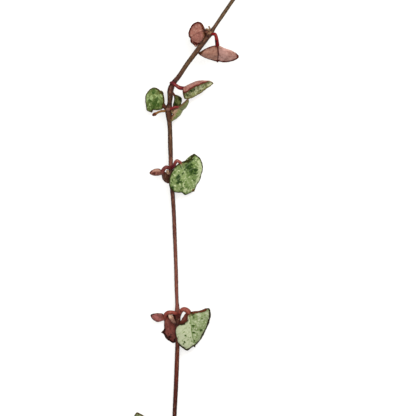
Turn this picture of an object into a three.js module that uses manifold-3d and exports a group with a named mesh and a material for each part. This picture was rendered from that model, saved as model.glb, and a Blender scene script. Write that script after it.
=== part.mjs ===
// Silver glory string of hearts: one trailing strand that lies on a flat surface.
// Millimetres, +Z up. The strand runs along Y with its growing tip at -Y, and the origin is on
// the surface, under the middle of the strand's bounding box.
import * as THREE from 'three';
import { mergeVertices } from 'three/addons/utils/BufferGeometryUtils.js';
import Module from 'manifold-3d';

const wasm = await Module();
wasm.setup();

// Driving dimensions
const bladeThickness = 0.95; // at the midrib
const marginThickness = 0.66; // at the edge of a blade
const petioleRadius = 0.56;
const youngPetioleRadius = 0.42;
const stalkRadius = 0.4;
const fitGap = 0.3; // clearance between the stem and what grows on it
const baseHalfWidth = 0.5; // of the blade where the petiole joins it
const tipHalfWidth = 0.22; // of the small point at a leaf's end

// How finely the curved surfaces are split
const bladeRows = 13;
const bladeColumns = 4; // on each side of the midrib
const youngBladeRows = 6;
const youngBladeColumns = 2;
const ribWarp = 1.7; // above 1 keeps the start of the midrib for the lobes beside the petiole
const stemSides = 8;
const stemSteps = 92;
const petioleSides = 6;
const petioleStepLength = 1;
const beadSegments = 8;
const threadRadius = 0.1; // of the thin tube that is swollen to each stem or stalk
const cornerTolerance = 1e-5; // corners closer than this are one corner

const surfaceReach = 400; // more than the strand is long
const surfaceDepth = 20;

const finishes = {
  stem: { color: 0x6e4a3d, roughness: 0.7 },
  silverGreen: { color: 0xa6bd86, roughness: 0.55 },
  darkGreen: { color: 0x4c5f2e, roughness: 0.55 },
  pinkUnderside: { color: 0xac7a6d, roughness: 0.6 },
  maroonUnderside: { color: 0x7a4040, roughness: 0.6 },
  driedStalk: { color: 0xa8843f, roughness: 0.8 },
  bead: { color: 0xb59478, roughness: 0.75 },
};

// The seven places where the stem carries something, from the cut end to the growing tip
const nodes = {
  a: [8.6, 90.1, 9.5],
  b: [-8.7, 66.4, 6.4],
  c: [-9.9, 55.6, 5.2],
  d: [-9, 29.2, 3.2],
  e: [-6.1, -36.7, 3],
  f: [-7.5, -92.7, 2.8],
  tip: [-9, -110.7, 1.5],
};

// The stem from its cut end to its growing tip: x, y, z and radius. It swells at each node.
const stemStations = [
  [27.1, 116.4, 0.72, 0.8],
  [23.3, 110.5, 2.6, 0.78],
  [19.1, 104.4, 5, 0.76],
  [14.1, 97.2, 7.8, 0.76],
  [10.2, 91.5, 9.3, 0.88],
  [8.8, 89.5, 9.5, 1.26],
  [6.9, 86.7, 9.2, 1.14],
  [3.5, 81.7, 8.5, 1.05],
  [-2, 74.7, 7.5, 1],
  [-6.1, 69.7, 6.7, 1.02],
  [-8.5, 66.9, 6.4, 1.2],
  [-9, 63.9, 6.1, 1.32],
  [-9.3, 60.3, 5.7, 1.12],
  [-9.5, 57.8, 5.4, 1.06],
  [-9.9, 55.4, 5.2, 1.66],
  [-9.9, 53.1, 5, 1.16],
  [-9.7, 49.5, 4.7, 0.84],
  [-9.4, 40.1, 3.8, 0.97],
  [-9.2, 33.3, 3.3, 0.92],
  [-9.1, 29.2, 3.2, 0.95],
  [-8.8, 24.3, 3, 0.85],
  [-8.1, 15.3, 2.5, 0.88],
  [-7.2, -8.1, 1.3, 0.84],
  [-6.5, -26.1, 2, 0.8],
  [-6.2, -32.4, 2.6, 0.85],
  [-6.1, -36.7, 3, 1.25],
  [-6, -40.5, 2.9, 1.25],
  [-6, -45.9, 2.6, 0.92],
  [-6.3, -55.4, 2.1, 0.9],
  [-6.7, -68.9, 1.6, 0.9],
  [-7.1, -82.8, 2, 0.88],
  [-7.5, -92.7, 2.8, 1.15],
  [-7.8, -99, 2.4, 0.78],
  [-8.5, -105.3, 1.8, 0.62],
  [-9, -110.7, 1.5, 0.6],
];

// Each leaf is measured from its node. The midrib runs from the petiole to the tip, and the two
// margins run the same way, left and right as seen on the upper face with the tip ahead.
// Camber is the bulge of each half towards the upper face, as a share of its width.
const leaves = {
  leaf_a_left: {
    node: 'a',
    finish: 'pinkUnderside',
    camber: -0.07,
    petiole: [
      [-0.3, -0.6, -0.2], [-1.5, 0.1, -0.3], [-2.6, 0.7, -0.9], [-3.4, 0.4, -1.1],
    ],
    rib: [
      [-2.6, 0.7, -0.9], [-5.5, -0.7, -1.1], [-7.5, -2.1, -2.1], [-8.8, -3.2, -3.1],
    ],
    left: [
      [-3, 2.3, -1], [-5.4, 4.3, -1.9], [-8.2, 2.2, -3.1], [-9.3, -0.7, -3.4], [-9.1, -2.3, -3.3],
    ],
    right: [
      [-1.8, -0.5, -1.9], [-1.7, -2.8, -2.9], [-3.4, -5.3, -3.7], [-5.7, -5.9, -3.9],
      [-7.3, -5.4, -3.8], [-8.4, -4.3, -3.5],
    ],
  },
  leaf_a_right: {
    node: 'a',
    finish: 'pinkUnderside',
    camber: -0.1,
    petiole: [
      [0.5, -0.6, 0.3], [1.8, -1, 1.4], [2.6, -2.3, 1.8], [3.1, -4.3, 1.4], [3.3, -6.3, 0.4],
      [3.5, -7.5, -0.2],
    ],
    rib: [
      [3.3, -6.4, 0.4], [3.7, -9, -1.3], [3.6, -11.5, -4.5], [3.3, -13.4, -6.3],
    ],
    left: [
      [1.6, -6.5, 0.1], [-1.1, -7.3, -0.9], [-3.6, -8.6, -2.5], [-4.7, -9.4, -3.6],
      [-3.2, -10.4, -4.7], [-0.6, -11.9, -5.7], [2, -12.6, -6.2],
    ],
    right: [
      [4.7, -6.8, 0.2], [6.7, -7.7, -0.3], [9.5, -8.6, -0.9], [11.7, -9.9, -1.5], [12.6, -11.3, -2.5],
      [10.4, -12.7, -3.9], [7.1, -13.4, -5.2], [4.6, -13.2, -6],
    ],
  },
  leaf_b_right: {
    node: 'b',
    finish: 'pinkUnderside',
    camber: -0.06,
    petiole: [
      [-0.1, 0.5, 0.8], [0.4, 0.5, 2], [1.9, -0.6, 2.2], [3.7, -1.8, 1.7], [5.2, -1.9, 1],
      [6.2, -1.4, 0.7],
    ],
    rib: [
      [5.2, -1.9, 1], [8.9, 0, 0.4], [12.8, 1.3, 0], [16.4, 1.2, -0.4], [18.9, 0.5, -0.5],
    ],
    left: [
      [5, -2.9, 2.5], [5.7, -3.8, 3.9], [7.7, -2.9, 5], [10.5, -1.2, 4.7], [14.1, 0.1, 3.2],
      [16.6, 0.7, 1.4],
    ],
    right: [
      [5.1, -3.4, 0.8], [5.5, -5, 0], [6.2, -6.3, -0.8], [8, -6.1, -1.4], [10.2, -5.4, -1.8],
      [12.9, -3.8, -1.8], [15.6, -2, -1.4], [17.8, -0.4, -0.8],
    ],
  },
  leaf_b_back: {
    node: 'b',
    finish: 'darkGreen',
    camber: 0.04,
    petiole: [
      [0.1, -0.3, -1.2], [0.3, -1.6, -2.6], [0.3, -3.4, -3], [1.1, -4.7, -2.9], [1.6, -5.6, -3],
    ],
    rib: [
      [1.1, -4.7, -2.9], [2.2, -7, -3.4], [2.8, -10.7, -5.2],
    ],
    left: [
      [2.7, -5.1, -2.8], [4.4, -6.1, -3.3], [4.7, -7.4, -3.8], [4.3, -9.1, -4.6], [3.6, -10.3, -5.1],
    ],
    right: [
      [1.3, -5.8, -3.2], [1.2, -7.3, -3.8], [0.6, -9, -4.5], [0.9, -10.5, -5.2], [2, -11, -5.4],
    ],
  },
  leaf_c_left: {
    node: 'c',
    finish: 'silverGreen',
    camber: 0.08,
    petiole: [
      [-0.5, 0, 0], [-1.7, 1.3, -0.6], [-2.3, 3.4, -1.3], [-2.4, 5.6, -1.3], [-2.9, 7, -0.8],
      [-3.8, 7.4, -0.3], [-4.3, 6.4, -0.1],
    ],
    rib: [
      [-3.8, 7.4, -0.3], [-5.2, 4.7, 0], [-6.7, 1.3, -0.8], [-7.7, -1.9, -2.2],
    ],
    left: [
      [-3.2, 6.7, -0.2], [-2.8, 4.5, -0.2], [-2.9, 2.3, -0.6], [-3.8, 0.2, -1.4], [-5.7, -0.7, -1.9],
      [-7, -0.7, -2],
    ],
    right: [
      [-4.9, 8.6, -0.3], [-6.5, 9.2, -0.6], [-8.7, 8.3, -1.2], [-10.3, 6, -1.8], [-10.7, 3.6, -2.2],
      [-10.3, 1.3, -2.5], [-9.7, -0.9, -2.7], [-8.4, -1.5, -2.5],
    ],
  },
  leaf_c_right: {
    node: 'c',
    finish: 'darkGreen',
    camber: 0.06,
    petiole: [
      [0.3, -0.3, 1.2], [1.2, 0.1, 2.7], [2.6, 0.6, 2.9], [4, 0.6, 1.9], [4.8, 0.1, 0.8],
    ],
    rib: [
      [4, 0.6, 1.8], [5.2, -0.2, -0.6], [5.9, -0.9, -3.8],
    ],
    left: [
      [5.3, 1.3, 1.9], [6.9, 2.5, 1.6], [8.6, 4.3, 0.8], [9.1, 3.3, -0.4], [8.5, 1.6, -1.8],
      [7.2, 0.1, -3.2],
    ],
    right: [
      [3.2, -0.4, 2], [2.1, -2.4, 2], [1, -4.4, 1.6], [0.7, -5.9, 1], [2.1, -5.2, 0],
      [3.9, -3.7, -1.6], [5.3, -2, -3],
    ],
  },
  leaf_d_left: {
    node: 'd',
    finish: 'maroonUnderside',
    camber: -0.06,
    petiole: [
      [-0.3, -0.5, 0.1], [-1.1, 0, 1.5], [-2.2, 0.3, 2.6], [-3.4, -0.6, 2.6], [-4.1, -2.3, 1.5],
      [-4, -3.1, 0.4],
    ],
    rib: [
      [-4.1, -2.3, 1.5], [-3.8, -3.7, -0.7], [-3.3, -5.3, -2.6],
    ],
    left: [
      [-4.8, -1, 2], [-6, -0.5, 2], [-7.8, -1.3, 1.4], [-9.4, -2.6, 0.5], [-8.4, -3.4, -0.3],
      [-6.7, -3.5, -1], [-4.3, -3.5, -1.7],
    ],
    right: [
      [-3.1, -2.9, 0.4], [-1.8, -2.8, -0.6], [-0.5, -3.6, -1.6], [0.1, -5.1, -2.3], [-0.9, -6.7, -2.9],
      [-2.4, -6.5, -3], [-3.2, -6, -2.9],
    ],
  },
  leaf_d_right: {
    node: 'd',
    finish: 'silverGreen',
    camber: 0.1,
    petiole: [
      [0.2, -0.1, 0.1], [1.1, 0.4, 1.4], [1.7, 2.3, 2.7], [2.7, 3.2, 3.2], [3.8, 2.7, 3],
      [4.5, 1.9, 2.6], [5, 0.8, 2.6],
    ],
    rib: [
      [4.5, 1.9, 2.6], [5.8, -2.2, 2.9], [7.6, -7.1, 1.6], [10.3, -10.8, -0.9],
    ],
    left: [
      [6.5, 3.1, 2.6], [8.8, 4.6, 2], [10, 5.8, 1.4], [12.6, 4.4, -0.4], [14.1, 1, -2],
      [13.7, -2.9, -3], [12.2, -6.4, -2.95], [10.8, -9.1, -1.8],
    ],
    right: [
      [3, 1, 2.5], [0.9, -1.4, 2], [-0.6, -5, 1.7], [-0.6, -8.9, 1.5], [0.9, -10.8, 1.3],
      [3.1, -11.5, 0.9], [4.7, -11.4, 0.5], [6.6, -12.3, -0.2], [9.2, -11.2, -0.9],
    ],
  },
  leaf_e_left: {
    node: 'e',
    finish: 'maroonUnderside',
    camber: 0,
    petiole: [
      [-0.4, 0, 0.6], [-1.3, 0.9, 1.6], [-2.8, 1.2, 2.2], [-4.4, 0.9, 2], [-5.5, -0.3, 1],
      [-5.6, -1.8, -0.2], [-5.5, -2.9, -0.9],
    ],
    rib: [
      [-5.6, -1.8, -0.2], [-5.4, -4.5, -1.9], [-5.9, -7, -2.5], [-7.2, -8.6, -2.7],
    ],
    left: [
      [-6.7, -0.2, 1], [-8.4, 0.2, 1.2], [-10.2, -0.1, 0.9], [-11.9, -0.9, 0.2], [-10.5, -2.6, -0.8],
      [-8.6, -3.3, -1.7], [-6.5, -3.2, -2.2], [-5.1, -4.9, -2.7], [-5.7, -7.4, -2.75],
    ],
    right: [
      [-4.2, -1.1, -0.8], [-2, -1.1, -1.8], [0.3, -2.3, -2.4], [1.4, -4.7, -2.8], [1.5, -7.9, -2.85],
      [0.5, -11, -2.85], [-1.5, -12.9, -2.85], [-3.1, -12.1, -2.85], [-4.8, -10.7, -2.85],
      [-5.8, -9.1, -2.8],
    ],
  },
  leaf_e_right: {
    node: 'e',
    finish: 'silverGreen',
    camber: 0.08,
    petiole: [
      [0.2, 0.2, 0.2], [1.4, 1.8, 1.8], [3, 2.7, 2.9], [4.4, 2, 3.2], [5.2, 0.3, 2.9],
      [5.5, -1.1, 2.9],
    ],
    rib: [
      [5.2, 0.3, 2.9], [5.9, -3.8, 3.2], [6.6, -9.7, 2.2], [7.6, -15, 0.4],
    ],
    left: [
      [7.7, 0.4, 2.8], [10.8, 0.9, 1.9], [14.1, 2.3, 0.4], [14.9, -0.6, -1], [13.9, -3.9, -1.8],
      [12.1, -7.4, -2], [10.4, -10.6, -1.5], [8.7, -13, -0.6], [7.9, -13.9, 0],
    ],
    right: [
      [3.7, -0.2, 3.2], [2.1, -2.5, 3], [0.6, -4.6, 2.3], [-0.6, -7.7, 1.9], [-0.2, -10.8, 1.7],
      [0.9, -14.2, 1.4], [2.7, -15.7, 1.2], [4.2, -16.5, 1], [5.8, -15.3, 0.7], [7, -14.3, 0.5],
    ],
  },
  leaf_f_left: {
    node: 'f',
    finish: 'silverGreen',
    camber: 0.07,
    petiole: [
      [-0.3, 0.2, 0.2], [-2.8, 2.2, 1.6], [-6, 4, 1.8], [-9.2, 4.7, 1.2], [-10.1, 3.8, 1.1],
    ],
    rib: [
      [-9.2, 4.7, 1.2], [-11.9, 1.8, 0.9], [-15, -1.2, -0.5], [-18.5, -3.7, -2.3],
    ],
    left: [
      [-7.6, 2.7, 0.7], [-7.3, -0.9, -0.2], [-9.6, -5, -1.5], [-13.2, -6.8, -2.55],
      [-16.2, -5.8, -2.6], [-17.4, -4.6, -2.5],
    ],
    right: [
      [-10.6, 7.5, 1], [-13.3, 9.7, 0.4], [-15.7, 11.2, -0.2], [-16.9, 11.5, -0.6], [-18.3, 9.6, -1.4],
      [-19.8, 5.4, -2.4], [-19.8, 0.9, -2.6], [-19.1, -2.3, -2.55],
    ],
  },
  leaf_f_right: {
    node: 'f',
    finish: 'silverGreen',
    camber: 0.07,
    petiole: [
      [0.4, 0.2, 0.2], [2.7, 2, 1.6], [5.4, 2.8, 1.9], [7.7, 1.8, 1.3], [8.3, 0.6, 1.2],
    ],
    rib: [
      [7.7, 1.8, 1.3], [9.6, -1.6, 1.3], [11.5, -5.4, -0.3], [13.8, -9.2, -2.3],
    ],
    left: [
      [9.7, 3.8, 1.1], [13.4, 4.8, 0.2], [16.8, 3.2, -0.8], [18.2, -0.7, -2.1], [17.1, -4.9, -2.6],
      [14.8, -7.7, -2.55],
    ],
    right: [
      [6.3, -0.2, 0.9], [4.8, -3.4, 0.2], [5.2, -7.4, -0.8], [7.7, -9.9, -2], [10.6, -10.1, -2.6],
      [12.5, -9, -2.55],
    ],
  },
  young_leaf_left: {
    node: 'tip',
    finish: 'darkGreen',
    camber: 0.01,
    petiole: [
      [-0.2, 1, 0], [-1.3, 0, 0.5], [-1.8, -1.3, 0.9], [-1.9, -2.4, 0.9],
    ],
    rib: [
      [-1.8, -1.7, 0.9], [-2.2, -3.5, 0.6], [-2.6, -5.9, -0.2],
    ],
    left: [
      [-1.1, -2.5, 1.5], [-1.1, -4, 1.2], [-1.9, -5.3, 0.4],
    ],
    right: [
      [-2.6, -2.1, 1.5], [-3.5, -3.3, 1], [-3.4, -4.8, 0.2],
    ],
  },
  young_leaf_right: {
    node: 'tip',
    finish: 'darkGreen',
    camber: 0.01,
    petiole: [
      [0.2, 1, 0], [1.3, 0, 0.5], [1.9, -1.2, 0.9], [2.1, -2.3, 0.9],
    ],
    rib: [
      [2, -1.5, 0.9], [2.5, -3.2, 0.6], [3.1, -5.5, -0.2],
    ],
    left: [
      [2.8, -1.8, 1.5], [3.7, -3.1, 1], [3.7, -4.5, 0.2],
    ],
    right: [
      [1.3, -2.3, 1.5], [1.3, -3.8, 1.2], [2.2, -5, 0.4],
    ],
  },
};

const toVector = ([x, y, z]) => new THREE.Vector3(x, y, z);
const smoothPath = (points) => new THREE.CatmullRomCurve3(points, false, 'centripetal');

// Closed mesh with shared corners as a solid that can be joined and cut, and back again.
function solidOf(geometry) {
  const bare = geometry.clone();
  bare.deleteAttribute('normal');
  bare.deleteAttribute('uv');
  const merged = mergeVertices(bare, cornerTolerance);
  return new wasm.Manifold(new wasm.Mesh({
    numProp: 3,
    vertProperties: new Float32Array(merged.getAttribute('position').array),
    triVerts: new Uint32Array(merged.index.array),
  }));
}

function geometryOf(solid) {
  const mesh = solid.getMesh();
  const geometry = new THREE.BufferGeometry();
  geometry.setAttribute('position', new THREE.BufferAttribute(mesh.vertProperties, mesh.numProp));
  geometry.setIndex(new THREE.BufferAttribute(mesh.triVerts, 1));
  geometry.computeVertexNormals();
  return geometry;
}

// Tube along a path whose radius changes: a thin thread is extruded along the path, and then each
// of its rings swells to the radius there.
function swollenTube(path, steps, sides, radiusAt) {
  const section = new THREE.Shape();
  section.setFromPoints(Array.from({ length: sides }, (_, i) => {
    const angle = (2 * Math.PI * i) / sides;
    return new THREE.Vector2(Math.cos(angle), Math.sin(angle)).multiplyScalar(threadRadius);
  }));
  const tube = new THREE.ExtrudeGeometry(section, { steps, extrudePath: path, bevelEnabled: false });
  const centres = path.getSpacedPoints(steps);
  const corners = tube.getAttribute('position');
  const corner = new THREE.Vector3();
  for (let i = 0; i < corners.count; i += 1) {
    corner.fromBufferAttribute(corners, i);
    const distances = centres.map((centre) => centre.distanceToSquared(corner));
    const ring = distances.indexOf(Math.min(...distances));
    corner.sub(centres[ring]).multiplyScalar(radiusAt(ring / steps) / threadRadius).add(centres[ring]);
    corners.setXYZ(i, corner.x, corner.y, corner.z);
  }
  return tube;
}

// The stem, grown outwards by a clearance where it is used to cut what lies against it.
function stemTube(clearance) {
  const points = stemStations.map(toVector);
  const path = smoothPath(points);
  const lengths = [0];
  for (let i = 1; i < points.length; i += 1) {
    lengths.push(lengths[i - 1] + points[i].distanceTo(points[i - 1]));
  }
  const total = lengths[lengths.length - 1];
  const radiusAt = (share) => {
    const travelled = Math.min(share * total, total);
    const next = Math.max(1, lengths.findIndex((length) => length >= travelled));
    const blend = (travelled - lengths[next - 1]) / (lengths[next] - lengths[next - 1]);
    return THREE.MathUtils.lerp(stemStations[next - 1][3], stemStations[next][3], blend) + clearance;
  };
  return swollenTube(path, stemSteps, stemSides, radiusAt);
}

// One margin of a blade, from beside the petiole round its lobe to beside the tip.
function marginPath(rib, points) {
  const base = rib.getPoint(0);
  const tip = rib.getPoint(1);
  const beside = (end, neighbour, distance) => (
    end.clone().add(neighbour.clone().sub(end).setLength(distance)));
  return smoothPath([
    beside(base, points[0], baseHalfWidth),
    ...points,
    beside(tip, points[points.length - 1], tipHalfWidth),
  ]);
}

// Middle surface of a blade as rows of points from the left margin over the midrib to the right one.
function bladeSurface(leaf, rows, columns) {
  const rib = smoothPath(leaf.rib.map(toVector));
  const left = marginPath(rib, leaf.left.map(toVector));
  const right = marginPath(rib, leaf.right.map(toVector));
  const surface = [];
  for (let row = 0; row <= rows; row += 1) {
    const along = row / rows;
    const ribShare = along ** ribWarp;
    const ribPoint = rib.getPointAt(ribShare);
    const ribDirection = rib.getTangentAt(ribShare);
    const line = [];
    for (let column = -columns; column <= columns; column += 1) {
      const across = Math.abs(column) / columns;
      const margin = (column < 0 ? left : right).getPointAt(along);
      const chord = margin.sub(ribPoint);
      const upwards = chord.clone().cross(ribDirection).multiplyScalar(Math.sign(column)).normalize();
      const bulge = leaf.camber * chord.length() * 4 * across * (1 - across);
      line.push(ribPoint.clone().addScaledVector(chord, across).addScaledVector(upwards, bulge));
    }
    surface.push(line);
  }
  return surface;
}

// Direction that the upper face looks in at one point of the surface. The first and last rows are
// too narrow to tell, and take it from their neighbours.
function upperNormal(surface, row, column) {
  const clampedRow = THREE.MathUtils.clamp(row, 1, surface.length - 2);
  const line = surface[clampedRow];
  const middle = (line.length - 1) / 2;
  const place = row === clampedRow ? column : middle;
  const acrossStep = line[Math.min(place + 1, line.length - 1)].clone().sub(line[Math.max(place - 1, 0)]);
  const alongStep = surface[clampedRow + 1][place].clone().sub(surface[clampedRow - 1][place]);
  return acrossStep.cross(alongStep).normalize();
}

// Closed blade: the middle surface moved half the thickness each way, with a rim round its edge.
// Both faces are split into triangles alike.
function bladeGeometry(leaf, rows, columns) {
  const surface = bladeSurface(leaf, rows, columns);
  const width = 2 * columns + 1;
  const corners = [];
  for (const side of [1, -1]) {
    surface.forEach((line, row) => line.forEach((point, column) => {
      const across = Math.abs(column - columns) / columns;
      const isEnd = row === 0 || row === rows;
      const thickness = isEnd ? marginThickness
        : THREE.MathUtils.lerp(bladeThickness, marginThickness, across ** 2);
      const corner = point.clone().addScaledVector(upperNormal(surface, row, column), side * thickness / 2);
      corners.push(corner.x, corner.y, corner.z);
    }));
  }
  const upper = (row, column) => row * width + column;
  const lower = (row, column) => (rows + 1) * width + upper(row, column);
  const triangles = [];
  for (let row = 0; row < rows; row += 1) {
    for (let column = 0; column < width - 1; column += 1) {
      triangles.push(upper(row, column), upper(row, column + 1), upper(row + 1, column + 1));
      triangles.push(upper(row, column), upper(row + 1, column + 1), upper(row + 1, column));
      triangles.push(lower(row, column), lower(row + 1, column + 1), lower(row, column + 1));
      triangles.push(lower(row, column), lower(row + 1, column), lower(row + 1, column + 1));
    }
  }
  const rim = [];
  for (let column = 0; column < width - 1; column += 1) {
    rim.push([0, column]);
  }
  for (let row = 0; row < rows; row += 1) {
    rim.push([row, width - 1]);
  }
  for (let column = width - 1; column > 0; column -= 1) {
    rim.push([rows, column]);
  }
  for (let row = rows; row > 0; row -= 1) {
    rim.push([row, 0]);
  }
  rim.forEach(([row, column], i) => {
    const [nextRow, nextColumn] = rim[(i + 1) % rim.length];
    triangles.push(upper(row, column), lower(row, column), lower(nextRow, nextColumn));
    triangles.push(upper(row, column), lower(nextRow, nextColumn), upper(nextRow, nextColumn));
  });
  const geometry = new THREE.BufferGeometry();
  geometry.setAttribute('position', new THREE.Float32BufferAttribute(corners, 3));
  geometry.setIndex(triangles);
  return geometry;
}

// Round stalk of constant radius through a few points.
function stalkGeometry(points, radius) {
  const path = smoothPath(points.map(toVector));
  const steps = Math.ceil(path.getLength() / petioleStepLength);
  return swollenTube(path, steps, petioleSides, () => radius);
}

const stemClearance = solidOf(stemTube(fitGap));
const surfaceBlock = solidOf(
  new THREE.BoxGeometry(surfaceReach, surfaceReach, surfaceDepth).translate(0, 0, -surfaceDepth / 2));

const meshOf = (name, geometry, finish) => {
  const mesh = new THREE.Mesh(geometry, new THREE.MeshStandardMaterial({ metalness: 0, ...finish }));
  mesh.name = name;
  return mesh;
};

// What grows at a node is cut back from the stem and made flat where it rests on the surface.
function grownAt(nodeName, name, geometries, finish) {
  const origin = toVector(nodes[nodeName]);
  const solid = geometries
    .map((geometry) => solidOf(geometry.translate(origin.x, origin.y, origin.z)))
    .reduce((joined, next) => joined.add(next))
    .subtract(stemClearance)
    .subtract(surfaceBlock);
  return meshOf(name, geometryOf(solid).translate(-origin.x, -origin.y, -origin.z), finish);
}

function leafMesh(name, leaf) {
  const isYoung = leaf.node === 'tip';
  const blade = isYoung
    ? bladeGeometry(leaf, youngBladeRows, youngBladeColumns)
    : bladeGeometry(leaf, bladeRows, bladeColumns);
  const petiole = stalkGeometry(leaf.petiole, isYoung ? youngPetioleRadius : petioleRadius);
  return grownAt(leaf.node, name, [blade, petiole], finishes[leaf.finish]);
}

const beadGeometry = ({ centre, radii }) => new THREE.SphereGeometry(1, beadSegments, beadSegments)
  .scale(...radii).translate(...centre);

const strand = new THREE.Group();

strand.add(meshOf('stem', geometryOf(solidOf(stemTube(0)).subtract(surfaceBlock)), finishes.stem));

const groups = Object.fromEntries(Object.entries(nodes).map(([name, position]) => {
  const group = new THREE.Group();
  group.position.set(...position);
  strand.add(group);
  return [name, group];
}));

for (const [name, leaf] of Object.entries(leaves)) {
  groups[leaf.node].add(leafMesh(name, leaf));
}

// Small tubers that swell in the leaf corners, and the stump of an old side shoot
const beads = {
  bead_d: { node: 'd', centre: [-1.55, -2.1, 0.7], radii: [0.65, 0.65, 0.65] },
  bead_e: { node: 'e', centre: [-2.6, -1.8, 1.1], radii: [1.3, 1.5, 1] },
};
for (const [name, bead] of Object.entries(beads)) {
  groups[bead.node].add(grownAt(bead.node, name, [beadGeometry(bead)], finishes.bead));
}

const stump = { node: 'a', points: [[0.1, 0.5, 0.5], [-0.2, 1.4, 1.1], [-0.6, 2.2, 1.5]] };
groups[stump.node].add(
  grownAt(stump.node, 'stump_a', [stalkGeometry(stump.points, stalkRadius)], finishes.bead));

// The dry stalk of a spent flower, with the knob that its bud left
const flowerStalk = {
  node: 'c',
  points: [[-0.6, -0.9, 0.1], [-2, -1, 0.5], [-3.4, -0.8, 0.7], [-4.8, -1.9, 0.4], [-6.6, -2.7, 0]],
  knob: { centre: [-6.8, -2.7, 0], radii: [0.72, 0.66, 0.66] },
};
groups[flowerStalk.node].add(grownAt(
  flowerStalk.node,
  'flower_stalk',
  [stalkGeometry(flowerStalk.points, stalkRadius), beadGeometry(flowerStalk.knob)],
  finishes.driedStalk,
));

export default strand;
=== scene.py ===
import bpy
import numpy as np
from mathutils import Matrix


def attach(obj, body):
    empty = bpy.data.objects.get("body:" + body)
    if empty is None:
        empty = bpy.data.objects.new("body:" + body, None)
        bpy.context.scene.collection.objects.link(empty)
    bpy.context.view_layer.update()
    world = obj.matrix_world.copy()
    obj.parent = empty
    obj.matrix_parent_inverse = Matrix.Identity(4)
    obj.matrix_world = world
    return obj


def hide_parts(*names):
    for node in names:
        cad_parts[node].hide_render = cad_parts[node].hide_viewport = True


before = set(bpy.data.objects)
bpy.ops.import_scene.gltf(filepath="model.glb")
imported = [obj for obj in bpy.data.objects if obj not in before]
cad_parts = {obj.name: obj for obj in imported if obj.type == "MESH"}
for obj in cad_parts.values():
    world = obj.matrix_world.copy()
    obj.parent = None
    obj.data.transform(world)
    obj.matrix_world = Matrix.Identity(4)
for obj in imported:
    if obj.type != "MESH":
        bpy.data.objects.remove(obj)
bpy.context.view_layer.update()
print("frame loaded:", len(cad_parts), "CAD nodes")

mm = 0.001  # every length below is in millimetres, and becomes metres when a mesh is made
underGap = 0.02  # least height of anything above the surface
restBend = 0.12  # how softly a piece comes to lie on the surface
brightness = 1.6  # what a level sheet shows in this light, as a multiple of its own colour

# Where the stem carries something, from the cut end to the growing tip
nodePlaces = {
    "a": (8.6, 90.1, 9.5),
    "b": (-8.7, 66.4, 6.4),
    "c": (-9.9, 55.6, 5.2),
    "d": (-9, 29.2, 3.2),
    "e": (-6.1, -36.7, 3),
    "f": (-7.5, -92.7, 2.8),
    "tip": (-9, -110.7, 1.5),
}


# Numbers between two limits as a smooth step: 3 t² - 2 t³ of the share t that is passed
def smoothStep(value, low, high):
    share = np.clip((value - low) / (high - low), 0, 1)
    return share * share * (3 - 2 * share)


# Soft noise at points: the mean of sine waves with seeded directions and phases, all about one
# wavelength long, from -1 to 1
def ripple(points, wavelength, seed):
    waves = 14
    chance = np.random.default_rng(seed)
    directions = chance.normal(size=(waves, 3))
    directions /= np.linalg.norm(directions, axis=1)[:, None]
    lengths = wavelength * chance.uniform(0.7, 1.4, waves)
    phases = chance.uniform(0, 2 * np.pi, waves)
    turns = np.asarray(points) @ (directions / lengths[:, None]).T * 2 * np.pi + phases
    return np.clip(np.sin(turns).sum(-1) / np.sqrt(waves), -1, 1)


# How much each point lies in a spot, seen from above: 1 - distance / radius of the strongest spot,
# where the points are shaken sideways a little, so that the spots are not round. A spot is its x, y,
# radius and strength.
def spotField(points, spots):
    if not spots:
        return np.zeros(len(points))
    shake, spread = 0.35, 1.35
    spots = np.asarray(spots, float)
    sideways = np.stack([ripple(points, 1.5, 51), ripple(points, 1.5, 52)], -1)
    shaken = points[:, :2] + shake * sideways
    away = np.linalg.norm(shaken[:, None] - spots[None, :, :2], axis=2)
    return (np.clip(1 - away / (spots[:, 2] * spread), 0, 1) * spots[:, 3]).max(axis=1)


# Vectors made one long
def unit(vectors):
    return vectors / np.maximum(np.linalg.norm(vectors, axis=-1, keepdims=True), 1e-9)


# Distance travelled along a line at each of its points
def travelled(line):
    return np.append(0, np.cumsum(np.linalg.norm(np.diff(line, axis=0), axis=1)))


# Line through points, read at shares of its length. Between two neighbours it is a cubic whose
# slopes count a gap as the square root of its length, so that short stretches make no loops.
def smoothLine(points, shares):
    fineness = 60  # steps of each cubic
    points = np.asarray(points, float)
    padded = np.vstack([2 * points[0] - points[1], points, 2 * points[-1] - points[-2]])
    before, start, end, after = padded[:-3], padded[1:-2], padded[2:-1], padded[3:]
    gaps = np.sqrt(np.linalg.norm(np.diff(padded, axis=0), axis=1))[:, None]
    first, middle, last = gaps[:-2], gaps[1:-1], gaps[2:]
    step = (end - start) / middle
    leave = ((start - before) / first - (end - before) / (first + middle) + step) * middle
    arrive = (step - (after - start) / (middle + last) + (after - end) / last) * middle
    t = np.linspace(0, 1, fineness)[:, None, None]
    fine = (start + leave * t + (3 * (end - start) - 2 * leave - arrive) * t ** 2
            + (2 * (start - end) + leave + arrive) * t ** 3)
    fine = fine.transpose(1, 0, 2).reshape(-1, points.shape[1])
    reached = travelled(fine)
    return np.stack([np.interp(shares * reached[-1], reached, column) for column in fine.T], -1)


# Points kept above the surface that the strand lies on: the larger of two heights, with a soft bend
def rested(points):
    height = points[..., 2] - underGap
    lifted = underGap + (height + np.sqrt(height ** 2 + restBend ** 2)) / 2
    return np.concatenate([points[..., :2], lifted[..., None]], -1)


# Quads between the rings of a grid of corner numbers, where each ring is a row of it
def ringQuads(index):
    beside = np.roll(index, -1, axis=1)
    return np.stack([index[:-1], beside[:-1], beside[1:], index[1:]], -1).reshape(-1, 4)


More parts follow.
